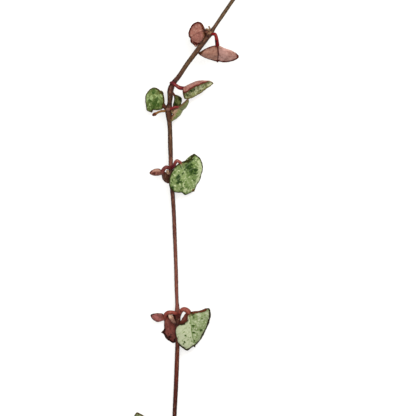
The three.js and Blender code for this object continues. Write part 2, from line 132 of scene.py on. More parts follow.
# Skin of a tube. Its ring at a place of the line is the place + radius · (cos a · flat + sin a ·
# high), across the line's direction, where flat is the direction that the line bends least in. A
# point closes it at each end. grain is the place on the skin with no seam: the cosine and sine of
# the turn, and the distance along. crest is 1 on the upper side, 0 on the flanks and -1 below; the
# finishes paint shade with it on the flanks and underside, and on petioles a highlight on top. The
# other fields have a value for each ring.
def tubeSkin(line, radii, material, fields):
    rows, sides = radii.shape
    ahead = unit(np.gradient(line, axis=0))
    flat = np.linalg.svd(line - line.mean(0), full_matrices=False)[2][2]
    flat = flat * np.sign(flat[np.argmax(np.abs(flat))])
    flat = unit(flat - (ahead @ flat)[:, None] * ahead)
    high = np.cross(ahead, flat)
    angle = np.linspace(0, 2 * np.pi, sides, endpoint=False)
    around = np.cos(angle)[:, None] * flat[:, None] + np.sin(angle)[:, None] * high[:, None]
    rings = line[:, None] + radii[:, :, None] * around
    outward = unit(rings - rings.mean(axis=1, keepdims=True))
    along = travelled(line)
    turns = np.tile(angle, rows)
    grain = np.stack([np.cos(turns), np.sin(turns), np.repeat(along, sides)], -1)
    made = {
        "grain": np.vstack([grain, [[0, 0, along[0]], [0, 0, along[-1]]]]),
        "crest": np.append(outward[..., 2].ravel(), [0, 0]),
    }
    for name, values in fields.items():
        made[name] = np.append(np.repeat(values, sides), [values[0], values[-1]])
    index = np.arange(rows * sides).reshape(rows, sides)
    first, last = index[0], index[-1]
    poles = [np.full(sides, rows * sides), np.full(sides, rows * sides + 1)]
    return {
        "points": np.vstack([rings.reshape(-1, 3), line[0], line[-1]]),
        "quads": ringQuads(index),
        "triangles": np.vstack([
            np.stack([poles[0], np.roll(first, -1), first], -1),
            np.stack([poles[1], last, np.roll(last, -1)], -1),
        ]),
        "material": material,
        "fields": made,
    }


# Line and radii with a round end added: the radius shrinks as cos b while the line goes on by
# bulge · radius · sin b. It stops just short of a radius of nothing.
def roundedEnd(line, radii, bulge):
    rings, reach = 6, 0.97
    b = np.linspace(0, np.pi / 2, rings + 1)[1:] * reach
    ahead = unit(line[-1] - line[-2])
    cap = line[-1] + (bulge * radii[-1] * np.sin(b))[:, None] * ahead
    return np.vstack([line, cap]), np.append(radii, radii[-1] * np.cos(b))


# The same at the start and at the end
def roundedBothEnds(line, radii, startBulge, endBulge):
    line, radii = roundedEnd(line, radii, endBulge)
    line, radii = roundedEnd(line[::-1], radii[::-1], startBulge)
    return line[::-1], radii[::-1]


# Relief of a tube's skin, as a share of its radius: a depth times a ripple of the place on a
# cylinder, so that it closes. The third number is below 1 for folds that run lengthwise.
def tubeRelief(line, sides, radius, relief, seed):
    depth, wavelength, lengthwise = relief
    angle = np.linspace(0, 2 * np.pi, sides, endpoint=False)
    ring = np.stack([radius * np.cos(angle), radius * np.sin(angle), 0 * angle], -1)
    places = ring[None] + travelled(line)[:, None, None] * [0, 0, 1]
    return depth * ripple(places * [1, 1, lengthwise], wavelength, seed)


# One mesh of several skins. A skin is a dictionary of its points, quads, triangles, material number
# and the fields that the materials read, with a number or a vector for each point.
def makePiece(name, skins, materials, node):
    points = np.vstack([skin["points"] for skin in skins])
    starts = np.cumsum([0] + [len(skin["points"]) for skin in skins])
    faces, kinds = [], []
    for skin, start in zip(skins, starts):
        for block in (skin["quads"], skin["triangles"]):
            faces += (np.asarray(block) + start).tolist()
            kinds += [skin["material"]] * len(block)
    mesh = bpy.data.meshes.new(name)
    mesh.from_pydata(rested(points) * mm, [], faces)
    mesh.polygons.foreach_set("material_index", kinds)
    for field in sorted({field for skin in skins for field in skin["fields"]}):
        isVector = field == "grain"
        shape = (3,) if isVector else ()
        values = np.concatenate([
            skin["fields"].get(field, np.zeros((len(skin["points"]), *shape))) for skin in skins])
        kind, key = ("FLOAT_VECTOR", "vector") if isVector else ("FLOAT", "value")
        layer = mesh.attributes.new(field, kind, "POINT")
        layer.data.foreach_set(key, values.astype(np.float32).ravel())
    for material in materials:
        mesh.materials.append(material)
    mesh.shade_smooth()
    mesh.update()
    piece = bpy.data.objects.new(name, mesh)
    bpy.context.scene.collection.objects.link(piece)
    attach(piece, "root")
    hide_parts(node)


# A Signal is a shader socket that sums can be written on: each sign adds a Math node
class Signal:
    def __init__(self, finish, socket):
        self.finish, self.socket = finish, socket

    def maths(self, operation, first, second):
        return self.finish.node("ShaderNodeMath", {"operation": operation}, {0: first, 1: second})

    def __add__(self, other):
        return self.maths("ADD", self, other)

    def __sub__(self, other):
        return self.maths("SUBTRACT", self, other)

    def __rsub__(self, other):
        return self.maths("SUBTRACT", other, self)

    def __mul__(self, other):
        return self.maths("MULTIPLY", self, other)

    __radd__ = __add__
    __rmul__ = __mul__


# Surface colour that shows as this red, green and blue, from 0 to 255, in the light of this scene
def tint(red, green, blue):
    shown = np.array([red, green, blue]) / 255
    linear = np.where(shown <= 0.04045, shown / 12.92, ((shown + 0.055) / 1.055) ** 2.4)
    return (*(linear / brightness).tolist(), 1.0)


# A material and its nodes. Colours are given as they show, from 0 to 255.
class Finish:
    def __init__(self, name, constants):
        self.material = bpy.data.materials.new(name)
        self.material.use_nodes = True
        self.tree = self.material.node_tree
        self.shader = self.tree.nodes["Principled BSDF"]
        for socket, value in constants.items():
            self.shader.inputs[socket].default_value = value

    def feed(self, socket, value):
        if isinstance(value, Signal):
            self.tree.links.new(value.socket, socket)
        else:
            socket.default_value = value

    # Any node: its type, its settings, then the values or signals of its sockets
    def node(self, kind, settings=None, values=None, output=0):
        made = self.tree.nodes.new(kind)
        for key, value in (settings or {}).items():
            if key == "stops":
                ramp = made.color_ramp.elements
                while len(ramp) < len(value):
                    ramp.new(0.5)
                for element, (place, colour) in zip(ramp, value):
                    element.position, element.color = place, tint(*colour)
            else:
                setattr(made, key, value)
        for socket, value in (values or {}).items():
            self.feed(made.inputs[socket], value)
        return Signal(self, made.outputs[output])

    def field(self, name, output="Fac"):
        return self.node("ShaderNodeAttribute", {"attribute_name": name}, output=output)

    def scaled(self, vector, factors):
        return self.node("ShaderNodeVectorMath", {"operation": "MULTIPLY"}, {0: vector, 1: factors})

    # The place on a tube's skin, stretched lengthwise
    def grain(self, across, lengthwise):
        return self.scaled(self.field("grain", "Vector"), (across, across, lengthwise))

    def place(self):  # the place on the object, in millimetres
        metres = self.node("ShaderNodeTexCoord", output="Object")
        return self.scaled(metres, (1 / mm, 1 / mm, 1 / mm))

    # Noise from 0 to 1 whose blotches are about one size across. Seeds give patterns that differ.
    def noise(self, vector, size, detail, roughness=0.5, seed=0):
        settings = {"normalize": True, "noise_dimensions": "4D"}
        values = {"Vector": vector, "W": seed, "Scale": 1 / size, "Detail": detail}
        return self.node("ShaderNodeTexNoise", settings, {**values, "Roughness": roughness})

    def step(self, value, low, high):
        values = {"Value": value, "From Min": low, "From Max": high}
        return self.node("ShaderNodeMapRange", {"interpolation_type": "SMOOTHSTEP"}, values)

    def mix(self, factor, first, second):
        first, second = [one if isinstance(one, Signal) else tint(*one) for one in (first, second)]
        values = {0: factor, 6: first, 7: second}
        return self.node("ShaderNodeMix", {"data_type": "RGBA"}, values, output=2)

    # Colours laid one over the other. A layer is its mask, the limits between which the mask comes
    # in (None for the mask as it is), its strength and its colour.
    def layered(self, colour, layers):
        for mask, limits, strength, shade in layers:
            shown = self.step(mask, *limits) if limits else mask
            colour = self.mix(shown if strength == 1 else shown * strength, colour, shade)
        return colour

    def ramp(self, value, stops):
        return self.node("ShaderNodeValToRGB", {"stops": stops}, {"Fac": value})

    def bumped(self, height, distance, strength):
        values = {"Height": height, "Distance": distance * mm, "Strength": strength}
        return self.node("ShaderNodeBump", {}, values)

    def show(self, colour, roughness, normal):
        self.feed(self.shader.inputs["Base Color"], colour)
        self.feed(self.shader.inputs["Roughness"], roughness)
        self.feed(self.shader.inputs["Normal"], normal)
        return self.material


# The stem: x, y, z and radius at its stations, from the cut end to the growing tip
stem = dict(
    rows=950,
    sides=28,
    seed=11,
    stations=[
        (27.05, 116.4, 0.76, 0.84), (23.15, 110.5, 2.6, 0.87), (18.95, 104.4, 5, 0.87),
        (14.05, 97.2, 7.8, 0.84), (10.2, 91.5, 9.3, 0.88), (8.8, 89.5, 9.5, 1.26),
        (6.9, 86.7, 9.2, 1.14), (3.1, 81.9, 8.5, 1.13), (-2.15, 74.85, 7.5, 1.05),
        (-5.4, 69.95, 6.7, 1.06), (-8.05, 66.65, 6.4, 1.2), (-9.15, 63.9, 6.1, 1.42),
        (-9.4, 60.3, 5.7, 1.24), (-9.6, 57.8, 5.4, 1.08), (-10, 55.4, 5.2, 1.6), (-10, 52.8, 5, 1.45),
        (-9.7, 49.8, 4.7, 1.15), (-9.45, 46, 4.4, 1.02), (-9.3, 40.1, 3.8, 1.08), (-9.1, 33.3, 3.3, 1),
        (-9.1, 29.2, 3.2, 0.95), (-8.9, 24.3, 3, 0.98), (-8.15, 15.3, 2.5, 0.94),
        (-7.03, -8.1, 1.3, 0.87), (-6.51, -26.1, 2, 0.86), (-6.3, -32.4, 2.6, 0.87),
        (-6.1, -36.7, 3, 1.25), (-6, -40.5, 2.9, 1.25), (-6, -45.9, 2.6, 1.02), (-6.2, -55.4, 2.1, 1),
        (-6.78, -68.9, 1.6, 1), (-7.4, -82.8, 2, 0.95), (-7.5, -92.7, 2.8, 1.15), (-7.8, -99, 2.4, 0.78),
        (-8.5, -105.3, 1.8, 0.62), (-9, -110.7, 1.5, 0.6),
    ],
    cutBulge=0.12,
    tipBulge=1,
    cutEdge=(0.08, 0.3),  # how far the cut face reaches along the skin
    folds=(0.05, 1.5, 0.12),  # shrunken folds: depth as a share of the radius, wavelength, stretch
    bumps=(0.03, 0.7, 0.6),
    scars=[(-1.1, 0.05), (1.2, 0.09), (1.9, 0.04)],  # rings at each node: shift along and height
    scarWidth=0.28,
    colours=[  # at a height y of the strand
        (116, (100, 78, 50)), (96, (94, 72, 50)), (88, (86, 52, 39)), (82, (90, 60, 44)),
        (76, (102, 78, 54)), (68, (78, 38, 34)), (64.5, (90, 44, 40)), (61, (72, 44, 32)),
        (57, (72, 42, 30)), (53, (94, 54, 38)), (46, (88, 62, 42)), (37, (94, 61, 44)),
        (33.5, (118, 72, 58)), (30, (142, 86, 74)), (28, (90, 58, 46)), (24, (88, 52, 42)),
        (10, (104, 58, 48)), (-22, (136, 75, 64)), (-33.5, (134, 72, 62)), (-36, (112, 60, 52)),
        (-38, (84, 46, 36)), (-42, (80, 40, 32)), (-55, (110, 48, 32)), (-68, (93, 28, 19)),
        (-77, (68, 17, 8)), (-92, (86, 40, 26)), (-104, (104, 62, 40)), (-111, (100, 86, 44)),
    ],
    cutColour=(170, 150, 112),
    # Spots of wear, as x, y, radius and strength
    pale=[(-9.8, 60.9, 0.8, 0.7), (-10.4, 54.6, 0.9, 0.6), (-9.3, 50.6, 0.8, 0.8),
        (-6.8, -37.4, 0.8, 0.7), (-5.6, -39.6, 0.7, 0.6), (8.8, 89.6, 1.3, 0.8), (-8.9, 30.4, 0.9, 0.5),
        (-7.5, -93.4, 1, 0.5)],
    dark=[(8.8, 91, 0.8, 1), (7.6, 87.6, 0.9, 0.7), (-8.6, 67.8, 1.2, 0.8), (-9.7, 57.6, 1.1, 0.9),
        (-9, 27.8, 1.1, 0.7), (-6.1, -37.4, 1.1, 0.8), (-6.4, -39.4, 0.9, 0.7), (-6.2, -41.6, 1.1, 0.7),
        (-7.5, -91.8, 1.2, 0.8)],
)


# The stem's skin: rings round its line, whose radius is that of the stations, times shrunken folds
# that wander round it, small bumps, and a raised scar ring at each node
def stemSkin():
    fineSteps = 2000  # of the radius along the line
    stations = np.asarray(stem["stations"])
    line = smoothLine(stations[:, :3], np.linspace(0, 1, stem["rows"]))
    stationShares = travelled(stations[:, :3]) / travelled(stations[:, :3])[-1]
    reached = travelled(line)
    profile = np.column_stack([stationShares * reached[-1], stations[:, 3]])
    profile = smoothLine(profile, np.linspace(0, 1, fineSteps))
    radii = np.interp(reached, profile[:, 0], profile[:, 1])
    line, radii = roundedBothEnds(line, radii, stem["cutBulge"], stem["tipBulge"])
    reached = travelled(line)
    relief = sum(tubeRelief(line, stem["sides"], 1, stem[kind], stem["seed"] + i)
                 for i, kind in enumerate(("folds", "bumps")))
    scars = np.zeros(len(line))
    for place in nodePlaces.values():
        nearest = reached[np.argmin(np.linalg.norm(line - place, axis=1))]
        for shift, height in stem["scars"]:
            scars += height * np.exp(-((reached - nearest - shift) / stem["scarWidth"]) ** 2)
    fade = smoothStep(reached, 0, 0.6) * smoothStep(reached[-1] - reached, 0, 1)  # plain ends
    shaped = radii[:, None] * (1 + fade[:, None] * relief) + (fade * scars)[:, None]
    skin = tubeSkin(line, shaped, 0, {"cut": 1 - smoothStep(reached, *stem["cutEdge"])})
    for field in ("pale", "dark"):
        skin["fields"][field] = spotField(skin["points"], stem[field])
    skin["fields"]["height"] = skin["points"][:, 1]
    return skin


# Bark: a colour that changes along the strand, with lengthwise streaks, pale pores and worn spots,
# and painted shade that darkens its flanks and underside
def barkFinish():
    finish = Finish("stemBark", {"Specular IOR Level": 0.12})
    bottom, top = stem["colours"][-1][0], stem["colours"][0][0]
    stops = [((y - bottom) / (top - bottom), colour) for y, colour in stem["colours"][::-1]]
    streak = finish.noise(finish.grain(1, 0.22), 0.45, 3, 0.6)
    cloud = finish.noise(finish.grain(0.6, 0.3), 1.6, 2)
    pores = finish.noise(finish.grain(1, 1), 0.32, 1)
    base = finish.ramp((finish.field("height") - bottom) * (1 / (top - bottom)), stops)
    darker = finish.mix(0.7, base, (30, 12, 6))
    paler = finish.mix(0.55, base, (184, 138, 104))
    colour = finish.layered(base, [
        (streak + (cloud - 0.5) * 0.5, (0.45, 0.3), 1, darker),
        (streak, (0.52, 0.68), 0.8, paler),
        # painted shade: the stem's flanks and underside darker than its top
        (finish.field("crest") + (streak - 0.5) * 0.5, (0.94, 0.45), 0.9, darker),
        (pores, (0.68, 0.78), 0.5, (176, 134, 104)),
        (finish.field("pale") + (streak - 0.5) * 1.1, (0.3, 0.6), 0.8, (160, 122, 92)),
        (finish.field("dark") + (streak - 0.5) * 1.1, (0.2, 0.55), 1, (52, 24, 22)),
        (finish.field("cut"), None, 1, stem["cutColour"]),
    ])
    relief = finish.bumped(streak * 0.7 + pores * 0.3, 0.08, 0.6)
    return finish.show(colour, 0.55 + (cloud - 0.5) * 0.3, relief)


makePiece("wiry_stem", [stemSkin()], [barkFinish()], "stem")
print("stem made")

# What a leaf has unless its own dictionary says otherwise, in millimetres. A relief is its depth
# and its wavelength.
commonLeaf = dict(
    rows=104,
    columns=26,  # on each side of the midrib
    ribWarp=1.7,  # above 1 keeps the start of the midrib for the lobes beside the petiole
    halfThickness=0.475,
    halfEdge=0.33,
    edgeRounding=0.33,
    tipThinning=0.35,
    baseHalfWidth=0.5,
    tipHalfWidth=0.22,
    nicks=(0.05, 1.1),  # of the margin, sideways
    waves=(0.1, 3.2),  # of the margin, up and down
    swells=(0.1, 5.5),
    dents=(0.06, 2.6),
    pebbles=(0.018, 0.75),
    grooveDepth=0.13,
    grooveWidth=0.3,
    veins=(0.1, 0.22, 0.36, 0.5, 0.65, 0.8),  # where side veins leave the midrib, as shares of it
    veinDepth=0.05,
    veinWidth=0.009,  # as a share of the midrib
    petioleRadius=0.56,
    petioleSides=18,
    petioleRows=90,
    petioleFolds=(0.05, 0.9, 0.25),
    footBulge=0.4,
    flare=0.35,  # how much wider the petiole is at its foot
    flareReach=0.8,
    neckScale=0.95,  # how wide it is at the blade's base
    ribRadius=0.2,
    ribThinning=0.55,
    ribEnd=0.9,  # share of the midrib where it sinks into the blade
)

# Colours and widths that a leaf has unless its own look gives others
commonLook = dict(
    mid=(120, 142, 90), cloud=(148, 166, 116), pale=(196, 206, 164), deep=(84, 108, 54),
    dark=(44, 70, 22), flecks=0.75, halfTone=(176, 182, 148), halfShow=0, underFlecks=0.5,
    under=(168, 118, 106), underDeep=(130, 76, 66), underPale=(200, 160, 146),
    underRight=(168, 118, 106), rim=(44, 40, 4), rimUnder=(84, 18, 8), rimFlush=(100, 46, 22),
    rimWidth=0.7, vein=(96, 116, 60), veinUnder=(118, 42, 42), veinShow=0.3, ribShow=0.6, ribWidth=0.22,
    flush=(120, 62, 40), baseFlush=0.5, foot=(80, 34, 28), petiole=(142, 46, 40), neck=(146, 70, 54),
    # flank is painted shade on the petioles' flanks and the colour of their dark streaks; the sheen values
    # paint a highlight along their tops
    flank=(70, 20, 18), sheen=0.3, stain=(40, 8, 10), roughness=0.5, gloss=0.12,
    paintedSheenTone=(214, 150, 130),
)


# One margin of a blade, from beside the petiole round its lobe to beside the tip
def marginLine(leaf, side, shares):
    points = np.asarray(leaf[side], float)
    base, tip = np.asarray(leaf["rib"][0], float), np.asarray(leaf["rib"][-1], float)
    start = base + unit(points[0] - base) * leaf["baseHalfWidth"]
    end = tip + unit(points[-1] - tip) * leaf["tipHalfWidth"]
    return smoothLine(np.vstack([start, points, end]), shares)


# Relief of a leaf at points of it: its depth times a ripple of its wavelength
def leafRelief(leaf, kind, points, draw):
    depth, wavelength = leaf[kind]
    return depth * ripple(points, wavelength, leaf["seed"] + draw)[..., None]


# Middle surface of a blade. A row runs from the left margin over the midrib to the right margin.
# Each half of it is a bow of its share a: (1 - a)² rib + 2 a (1 - a) crown + a² margin, where the
# crown stands over the chord's middle by the camber, moved by the leaf's own roll.
def bladeSurface(leaf):
    along = np.linspace(0, 1, leaf["rows"])
    ribShares = along ** leaf["ribWarp"]
    rib = smoothLine(leaf["rib"], ribShares)
    step = 0.004  # share of the midrib over which its direction is read
    ribAhead = unit(smoothLine(leaf["rib"], np.minimum(ribShares + step, 1))
                    - smoothLine(leaf["rib"], np.maximum(ribShares - step, 0)))
    share = np.sin(np.linspace(0, np.pi / 2, leaf["columns"] + 1))[None, :, None]
    calm = (smoothStep(along, 0.04, 0.25) * smoothStep(1 - along, 0, 0.08))[:, None]  # plain ends
    halves = []
    for side, sign in (("left", -1), ("right", 1)):
        margin = marginLine(leaf, side, along)
        outward = unit(margin - rib)
        lift = unit(np.cross(outward, ribAhead)) * sign
        margin = margin + calm * (outward * leafRelief(leaf, "nicks", margin, 3)
                                  + lift * leafRelief(leaf, "waves", margin, 4))
        chord = margin - rib
        upwards = sign * unit(np.cross(chord, ribAhead))
        crown = rib + chord / 2 + upwards * 2 * leaf["camber"] * np.linalg.norm(chord, axis=1)[:, None]
        if side in leaf.get("roll", {}):
            crown = crown + rollShift(leaf["roll"][side], along)
        halves.append((1 - share) ** 2 * rib[:, None] + 2 * share * (1 - share) * crown[:, None]
                      + share ** 2 * margin[:, None])
    surface = np.concatenate([halves[0][:, ::-1], halves[1][:, 1:]], axis=1)
    undulation = leafRelief(leaf, "dents", surface, 0) + leafRelief(leaf, "swells", surface, 1)
    calm = smoothStep(along, 0.02, 0.25)[:, None, None]
    return surface + surfaceNormals(surface) * undulation * calm, along


# Shift of a blade's crown at each row, given at some shares of its length and smoothed by a window
def rollShift(roll, along):
    roll = np.asarray(roll)
    shift = np.stack([np.interp(along, roll[:, 0], column) for column in roll[:, 1:].T], -1)
    window = np.hanning(9) / np.hanning(9).sum()
    padded = np.pad(shift, ((4, 4), (0, 0)), "edge")
    return np.stack([np.convolve(column, window, "valid") for column in padded.T], -1)


# Distance of each point of a surface from the nearest point of a line on it
def distanceTo(line, surface):
    flat = surface.reshape(-1, 1, 3)
    return np.linalg.norm(flat - line[None], axis=2).min(axis=1).reshape(surface.shape[:2])


# Direction that the upper face looks in: the step across times the step along, as a mean over the
# neighbouring rows and columns
def surfaceNormals(surface):
    up, side = 5, 2  # how many neighbours count
    crossed = np.cross(np.gradient(surface, axis=1), np.gradient(surface, axis=0))
    padded = np.pad(crossed, ((up, up), (side, side), (0, 0)), "edge")
    rows, width = surface.shape[:2]
    return unit(sum(padded[i:i + rows, j:j + width]
                    for i in range(2 * up + 1) for j in range(2 * side + 1)))


# Closed skin of a blade: the middle surface moved half the thickness each way, thinner towards the
# margin by sqrt(1 - q²) so that the edge is round. Grooves run over the midrib and the side veins.
def bladeSkin(leaf, surface, along):
    rows, width = surface.shape[:2]
    middle = (width - 1) // 2
    steps = np.linalg.norm(np.diff(surface, axis=1), axis=2)
    across = np.concatenate([np.zeros((rows, 1)), np.cumsum(steps, axis=1)], axis=1)
    fromRib = np.abs(across - across[:, [middle]])
    fromMargin = np.where(np.arange(width) <= middle, across, across[:, [-1]] - across)
    share = fromRib / np.maximum(fromRib + fromMargin, 1e-6)
    rim = distanceTo(np.vstack([surface[3:, 0], surface[3:, -1]]), surface)  # not beside the petiole
    rim[:, [0, -1]] = 0
    rounding = np.sqrt(1 - np.clip(1 - rim / leaf["edgeRounding"], 0, 1) ** 2)
    ends = np.minimum(np.arange(rows), rows - 1 - np.arange(rows))[:, None]
    tapered = np.sqrt(np.clip((ends + 0.4) / 4, 0, 1))  # over the first and the last four rows
    thinned = (1 - leaf["tipThinning"] * smoothStep(along, 0.75, 1))[:, None]
    half = leaf["halfThickness"] + (leaf["halfEdge"] - leaf["halfThickness"]) * share ** 2
    half = half * rounding * tapered * thinned
    fade = smoothStep(along, 0.02, 0.2)[:, None] * smoothStep(1 - along, 0, 0.12)[:, None]
    groove = leaf["grooveDepth"] * np.exp(-(fromRib / leaf["grooveWidth"]) ** 2) * fade
    wander = along[:, None] + ripple(surface, 4, leaf["seed"] + 6) * 0.012
    veins = sum(np.exp(-((wander - place) / leaf["veinWidth"]) ** 2) for place in leaf["veins"])
    veins = veins * smoothStep(share, 0.02, 0.12) * (1 - smoothStep(share, 0.8, 0.96)) * fade
    pebbles = leafRelief(leaf, "pebbles", surface, 7)[..., 0]
    normals = surfaceNormals(surface)
    upper = half - (groove + leaf["veinDepth"] * veins - pebbles) * rounding
    lower = half + (0.5 * leaf["veinDepth"] * veins + pebbles) * rounding
    top = surface + normals * upper[..., None]
    bottom = surface - normals * lower[..., None]
    ring = np.concatenate([top, bottom[:, -2:0:-1]], axis=1)
    sides = ring.shape[1]
    index = np.arange(rows * sides).reshape(rows, sides)
    quads, triangles = [ringQuads(index)], []
    for row, backwards in ((0, True), (rows - 1, False)):
        over, below = index[row, :width], index[row, -np.arange(width) % sides]
        strip = np.stack([over[1:-2], below[1:-2], below[2:-1], over[2:-1]], -1)
        corners = np.array([[over[0], below[1], over[1]], [over[-2], below[-2], over[-1]]])
        quads.append(strip if backwards else strip[:, ::-1])
        triangles.append(corners if backwards else corners[:, ::-1])
    face = np.ones((rows, width))
    face[:, [0, -1]] = 0.5
    fields = {"face": np.concatenate([face, np.zeros((rows, width - 2))], axis=1).ravel()}
    onSurface = {
        "rim": rim,
        "rib": distanceTo(surface[:, middle], surface),
        "vein": veins,
        "base": np.linalg.norm(surface - surface[0, middle], axis=2),
        "half": np.tile(np.arange(width) > middle, (rows, 1)).astype(float),
    }
    for name, values in onSurface.items():  # read over the top and back along the underside
        fields[name] = np.concatenate([values, values[:, -2:0:-1]], axis=1).ravel()
    points = ring.reshape(-1, 3)
    for name in ("dark", "pale", "flush", "bare", "bold"):
        fields[name] = spotField(points, leaf.get(name))
    return {"points": points, "quads": np.vstack(quads), "triangles": np.vstack(triangles),
            "material": 0, "fields": fields}


# Petiole: a round stalk that flares at its foot, reaches the blade's base, and runs out along the
# underside of the midrib, thinner and thinner
def petioleSkin(leaf, surface):
    middle = (surface.shape[1] - 1) // 2
    ribShares = np.linspace(0, 1, len(surface)) ** leaf["ribWarp"]
    # Where it runs below the midrib, as shares of it, and how deep, as shares of the half thickness
    run = np.array([(0.14, 0.75), (0.3, 0.95), (0.5, 0.95), (0.7, 0.95), (leaf["ribEnd"], 0.85)])
    chosen = [int(np.argmin(np.abs(ribShares - place))) for place in run[:, 0]]
    depth = leaf["halfThickness"] * run[:, 1:]
    under = surface[chosen, middle] - surfaceNormals(surface)[chosen, middle] * depth
    stalk = np.asarray(leaf["petiole"], float)
    line = smoothLine(np.vstack([stalk, under]), np.linspace(0, 1, leaf["petioleRows"]))
    reached = travelled(line)
    baseAt = reached[np.argmin(np.linalg.norm(line - stalk[-1], axis=1))]
    flare = 1 + leaf["flare"] * np.exp(-reached / leaf["flareReach"])
    neck = 1 + (leaf["neckScale"] - 1) * smoothStep(reached, 0.35 * baseAt, baseAt)
    radii = leaf["petioleRadius"] * flare * neck
    beyond = reached - baseAt
    radii += (leaf["ribRadius"] - radii) * smoothStep(beyond, -0.3, 1.8)
    radii *= 1 - leaf["ribThinning"] * smoothStep(beyond, 1.8, beyond[-1])
    line, radii = roundedBothEnds(line, radii, leaf["footBulge"], 1)
    relief = tubeRelief(line, leaf["petioleSides"], 0.5, leaf["petioleFolds"], leaf["seed"] + 8)
    reach = np.clip(travelled(line) / baseAt, 0, 2) / 2  # 0.5 at the blade's base
    skin = tubeSkin(line, radii[:, None] * (1 + relief), 1, {"reach": reach})
    skin["fields"]["dark"] = spotField(skin["points"], leaf.get("stainsAndPaintedLight"))
    return skin


# Leaf blade: a clouded and flecked upper face with pale and dark spots, a red underside, thin
# veins, and a dark rim that fades inwards
def bladeFinish(name, look):
    finish = Finish(name + "_blade", {"Specular IOR Level": look["gloss"]})
    place = finish.place()
    cloud = finish.noise(place, 2.6, 3, 0.6)
    blotch = finish.noise(place, 1.1, 3, 0.6, seed=3)
    fleck = finish.noise(place, 0.8, 2, 0.6, seed=7)
    speck = finish.noise(place, 0.75, 2, 0.6, seed=11)
    grain = finish.noise(place, 0.35, 2, 0.6, seed=15)
    # Spots and rims get ragged outlines from the noises' swing about their mean
    pale = finish.field("pale") + (blotch - 0.5) * 1.1 + (fleck - 0.5) * 0.7
    dark = finish.field("dark") + (blotch - 0.5) * 0.7 + (speck - 0.5) * 0.9
    ribLine = finish.step(look["ribWidth"] - finish.field("rib"), -0.06, 0.14)
    veins = finish.field("vein") * look["veinShow"]
    half = finish.field("half")

    upper = finish.layered(look["mid"], [
        (cloud, (0.42, 0.6), 1, look["cloud"]),
        (half, None, look["halfShow"], look["halfTone"]),
        (fleck, (0.52, 0.66), look["flecks"], look["pale"]),
        (speck, (0.54, 0.68), look["flecks"], look["deep"]),
        (pale, (0.2, 0.5), 0.85, look["pale"]),
        (dark, (0.16, 0.32), 0.7, look["deep"]),
        (dark, (0.3, 0.55), 1, look["dark"]),
        (veins, None, 1, look["vein"]),
        (ribLine, None, look["ribShow"], look["vein"]),
    ])
    under = finish.layered(look["under"], [
        # the right half's underside has a colour of its own; on heart_a_left it is painted lighter against
        # shade, on heart_d_left it is painted shade
        (half, None, 1, look["underRight"]),
        (cloud, (0.45, 0.64), 0.6, look["underDeep"]),
        (fleck, (0.54, 0.68), look["underFlecks"], look["underPale"]),
        (speck, (0.54, 0.68), 0.6, look["underDeep"]),
        (dark, (0.2, 0.5), 1, look["rimUnder"]),
        (pale, (0.2, 0.5), 1, look["underPale"]),
        (veins, None, 1, look["veinUnder"]),
        (ribLine, None, 0.8, look["veinUnder"]),
    ])

    isUpper = finish.step(finish.field("face"), 0.3, 0.7)
    flushed = finish.step(finish.field("flush") + (blotch - 0.5) * 0.7, 0.05, 0.5)
    rimColour = finish.mix(isUpper, look["rimUnder"], look["rim"])
    rimColour = finish.mix(flushed * 0.8, rimColour, look["rimFlush"])
    width = (blotch - 0.5) * 0.9 + look["rimWidth"] - finish.field("bare") + finish.field("bold")
    inRim = width - finish.field("rim")
    edge = finish.step(inRim, -0.05, 0.2)
    colour = finish.layered(finish.mix(isUpper, under, upper), [
        (2.4 - finish.field("base"), (0, 2), look["baseFlush"], look["flush"]),
        (flushed, None, 1, look["flush"]),
        (inRim, (-0.4, 0.1), 0.4, rimColour),
        (edge, None, 0.95, rimColour),
    ])
    roughness = edge * 0.35 + (grain - 0.5) * 0.25 + look["roughness"]
    return finish.show(colour, roughness, finish.bumped(grain * 0.5 + fleck, 0.07, 0.6))


# Petiole: dark foot, red middle, and the blade's own colour at its neck, with painted shade on its
# flanks and underside and a painted highlight along its top
def petioleFinish(name, look):
    finish = Finish(name + "_petiole", {"Specular IOR Level": 0.15})
    shades = {0: "foot", 0.14: "petiole", 0.38: "petiole", 0.51: "neck", 0.62: "veinUnder", 1: "veinUnder"}
    streak = finish.noise(finish.grain(0.5, 0.3), 0.4, 2)
    crest = finish.field("crest") + (streak - 0.5) * 0.6
    stainAndLightMask = finish.field("dark") + (streak - 0.5) * 0.6
    base = finish.ramp(finish.field("reach"), [(at, look[shade]) for at, shade in shades.items()])
    colour = finish.layered(base, [
        # painted shade on the flanks and underside, and a painted highlight along the top
        (crest, (0.85, 0.2), 0.65, look["flank"]),
        (crest, (0.88, 1.1), look["sheen"], look["paintedSheenTone"]),
        (streak, (0.44, 0.3), 0.5, look["flank"]),
        # petiole marks: stains, and on two leaves a painted shadow and a painted highlight
        (stainAndLightMask, (0.1, 0.6), 1, look["stain"]),
    ])
    return finish.show(colour, 0.42 + (streak - 0.5) * 0.2, finish.bumped(streak, 0.04, 0.5))


# Every leaf below is measured from its node. The midrib runs from the petiole to the tip, and the
# margins run the same way, left and right as seen on the upper face with the tip ahead. Spots are
# x, y, radius and strength: dark and pale ones, a flush of another colour, stretches of a bare or a
# bold rim, and marks on the petiole, which are stains on most leaves, painted shadow on
# heart_a_right and a painted highlight on heart_c_right.
leaves = {}

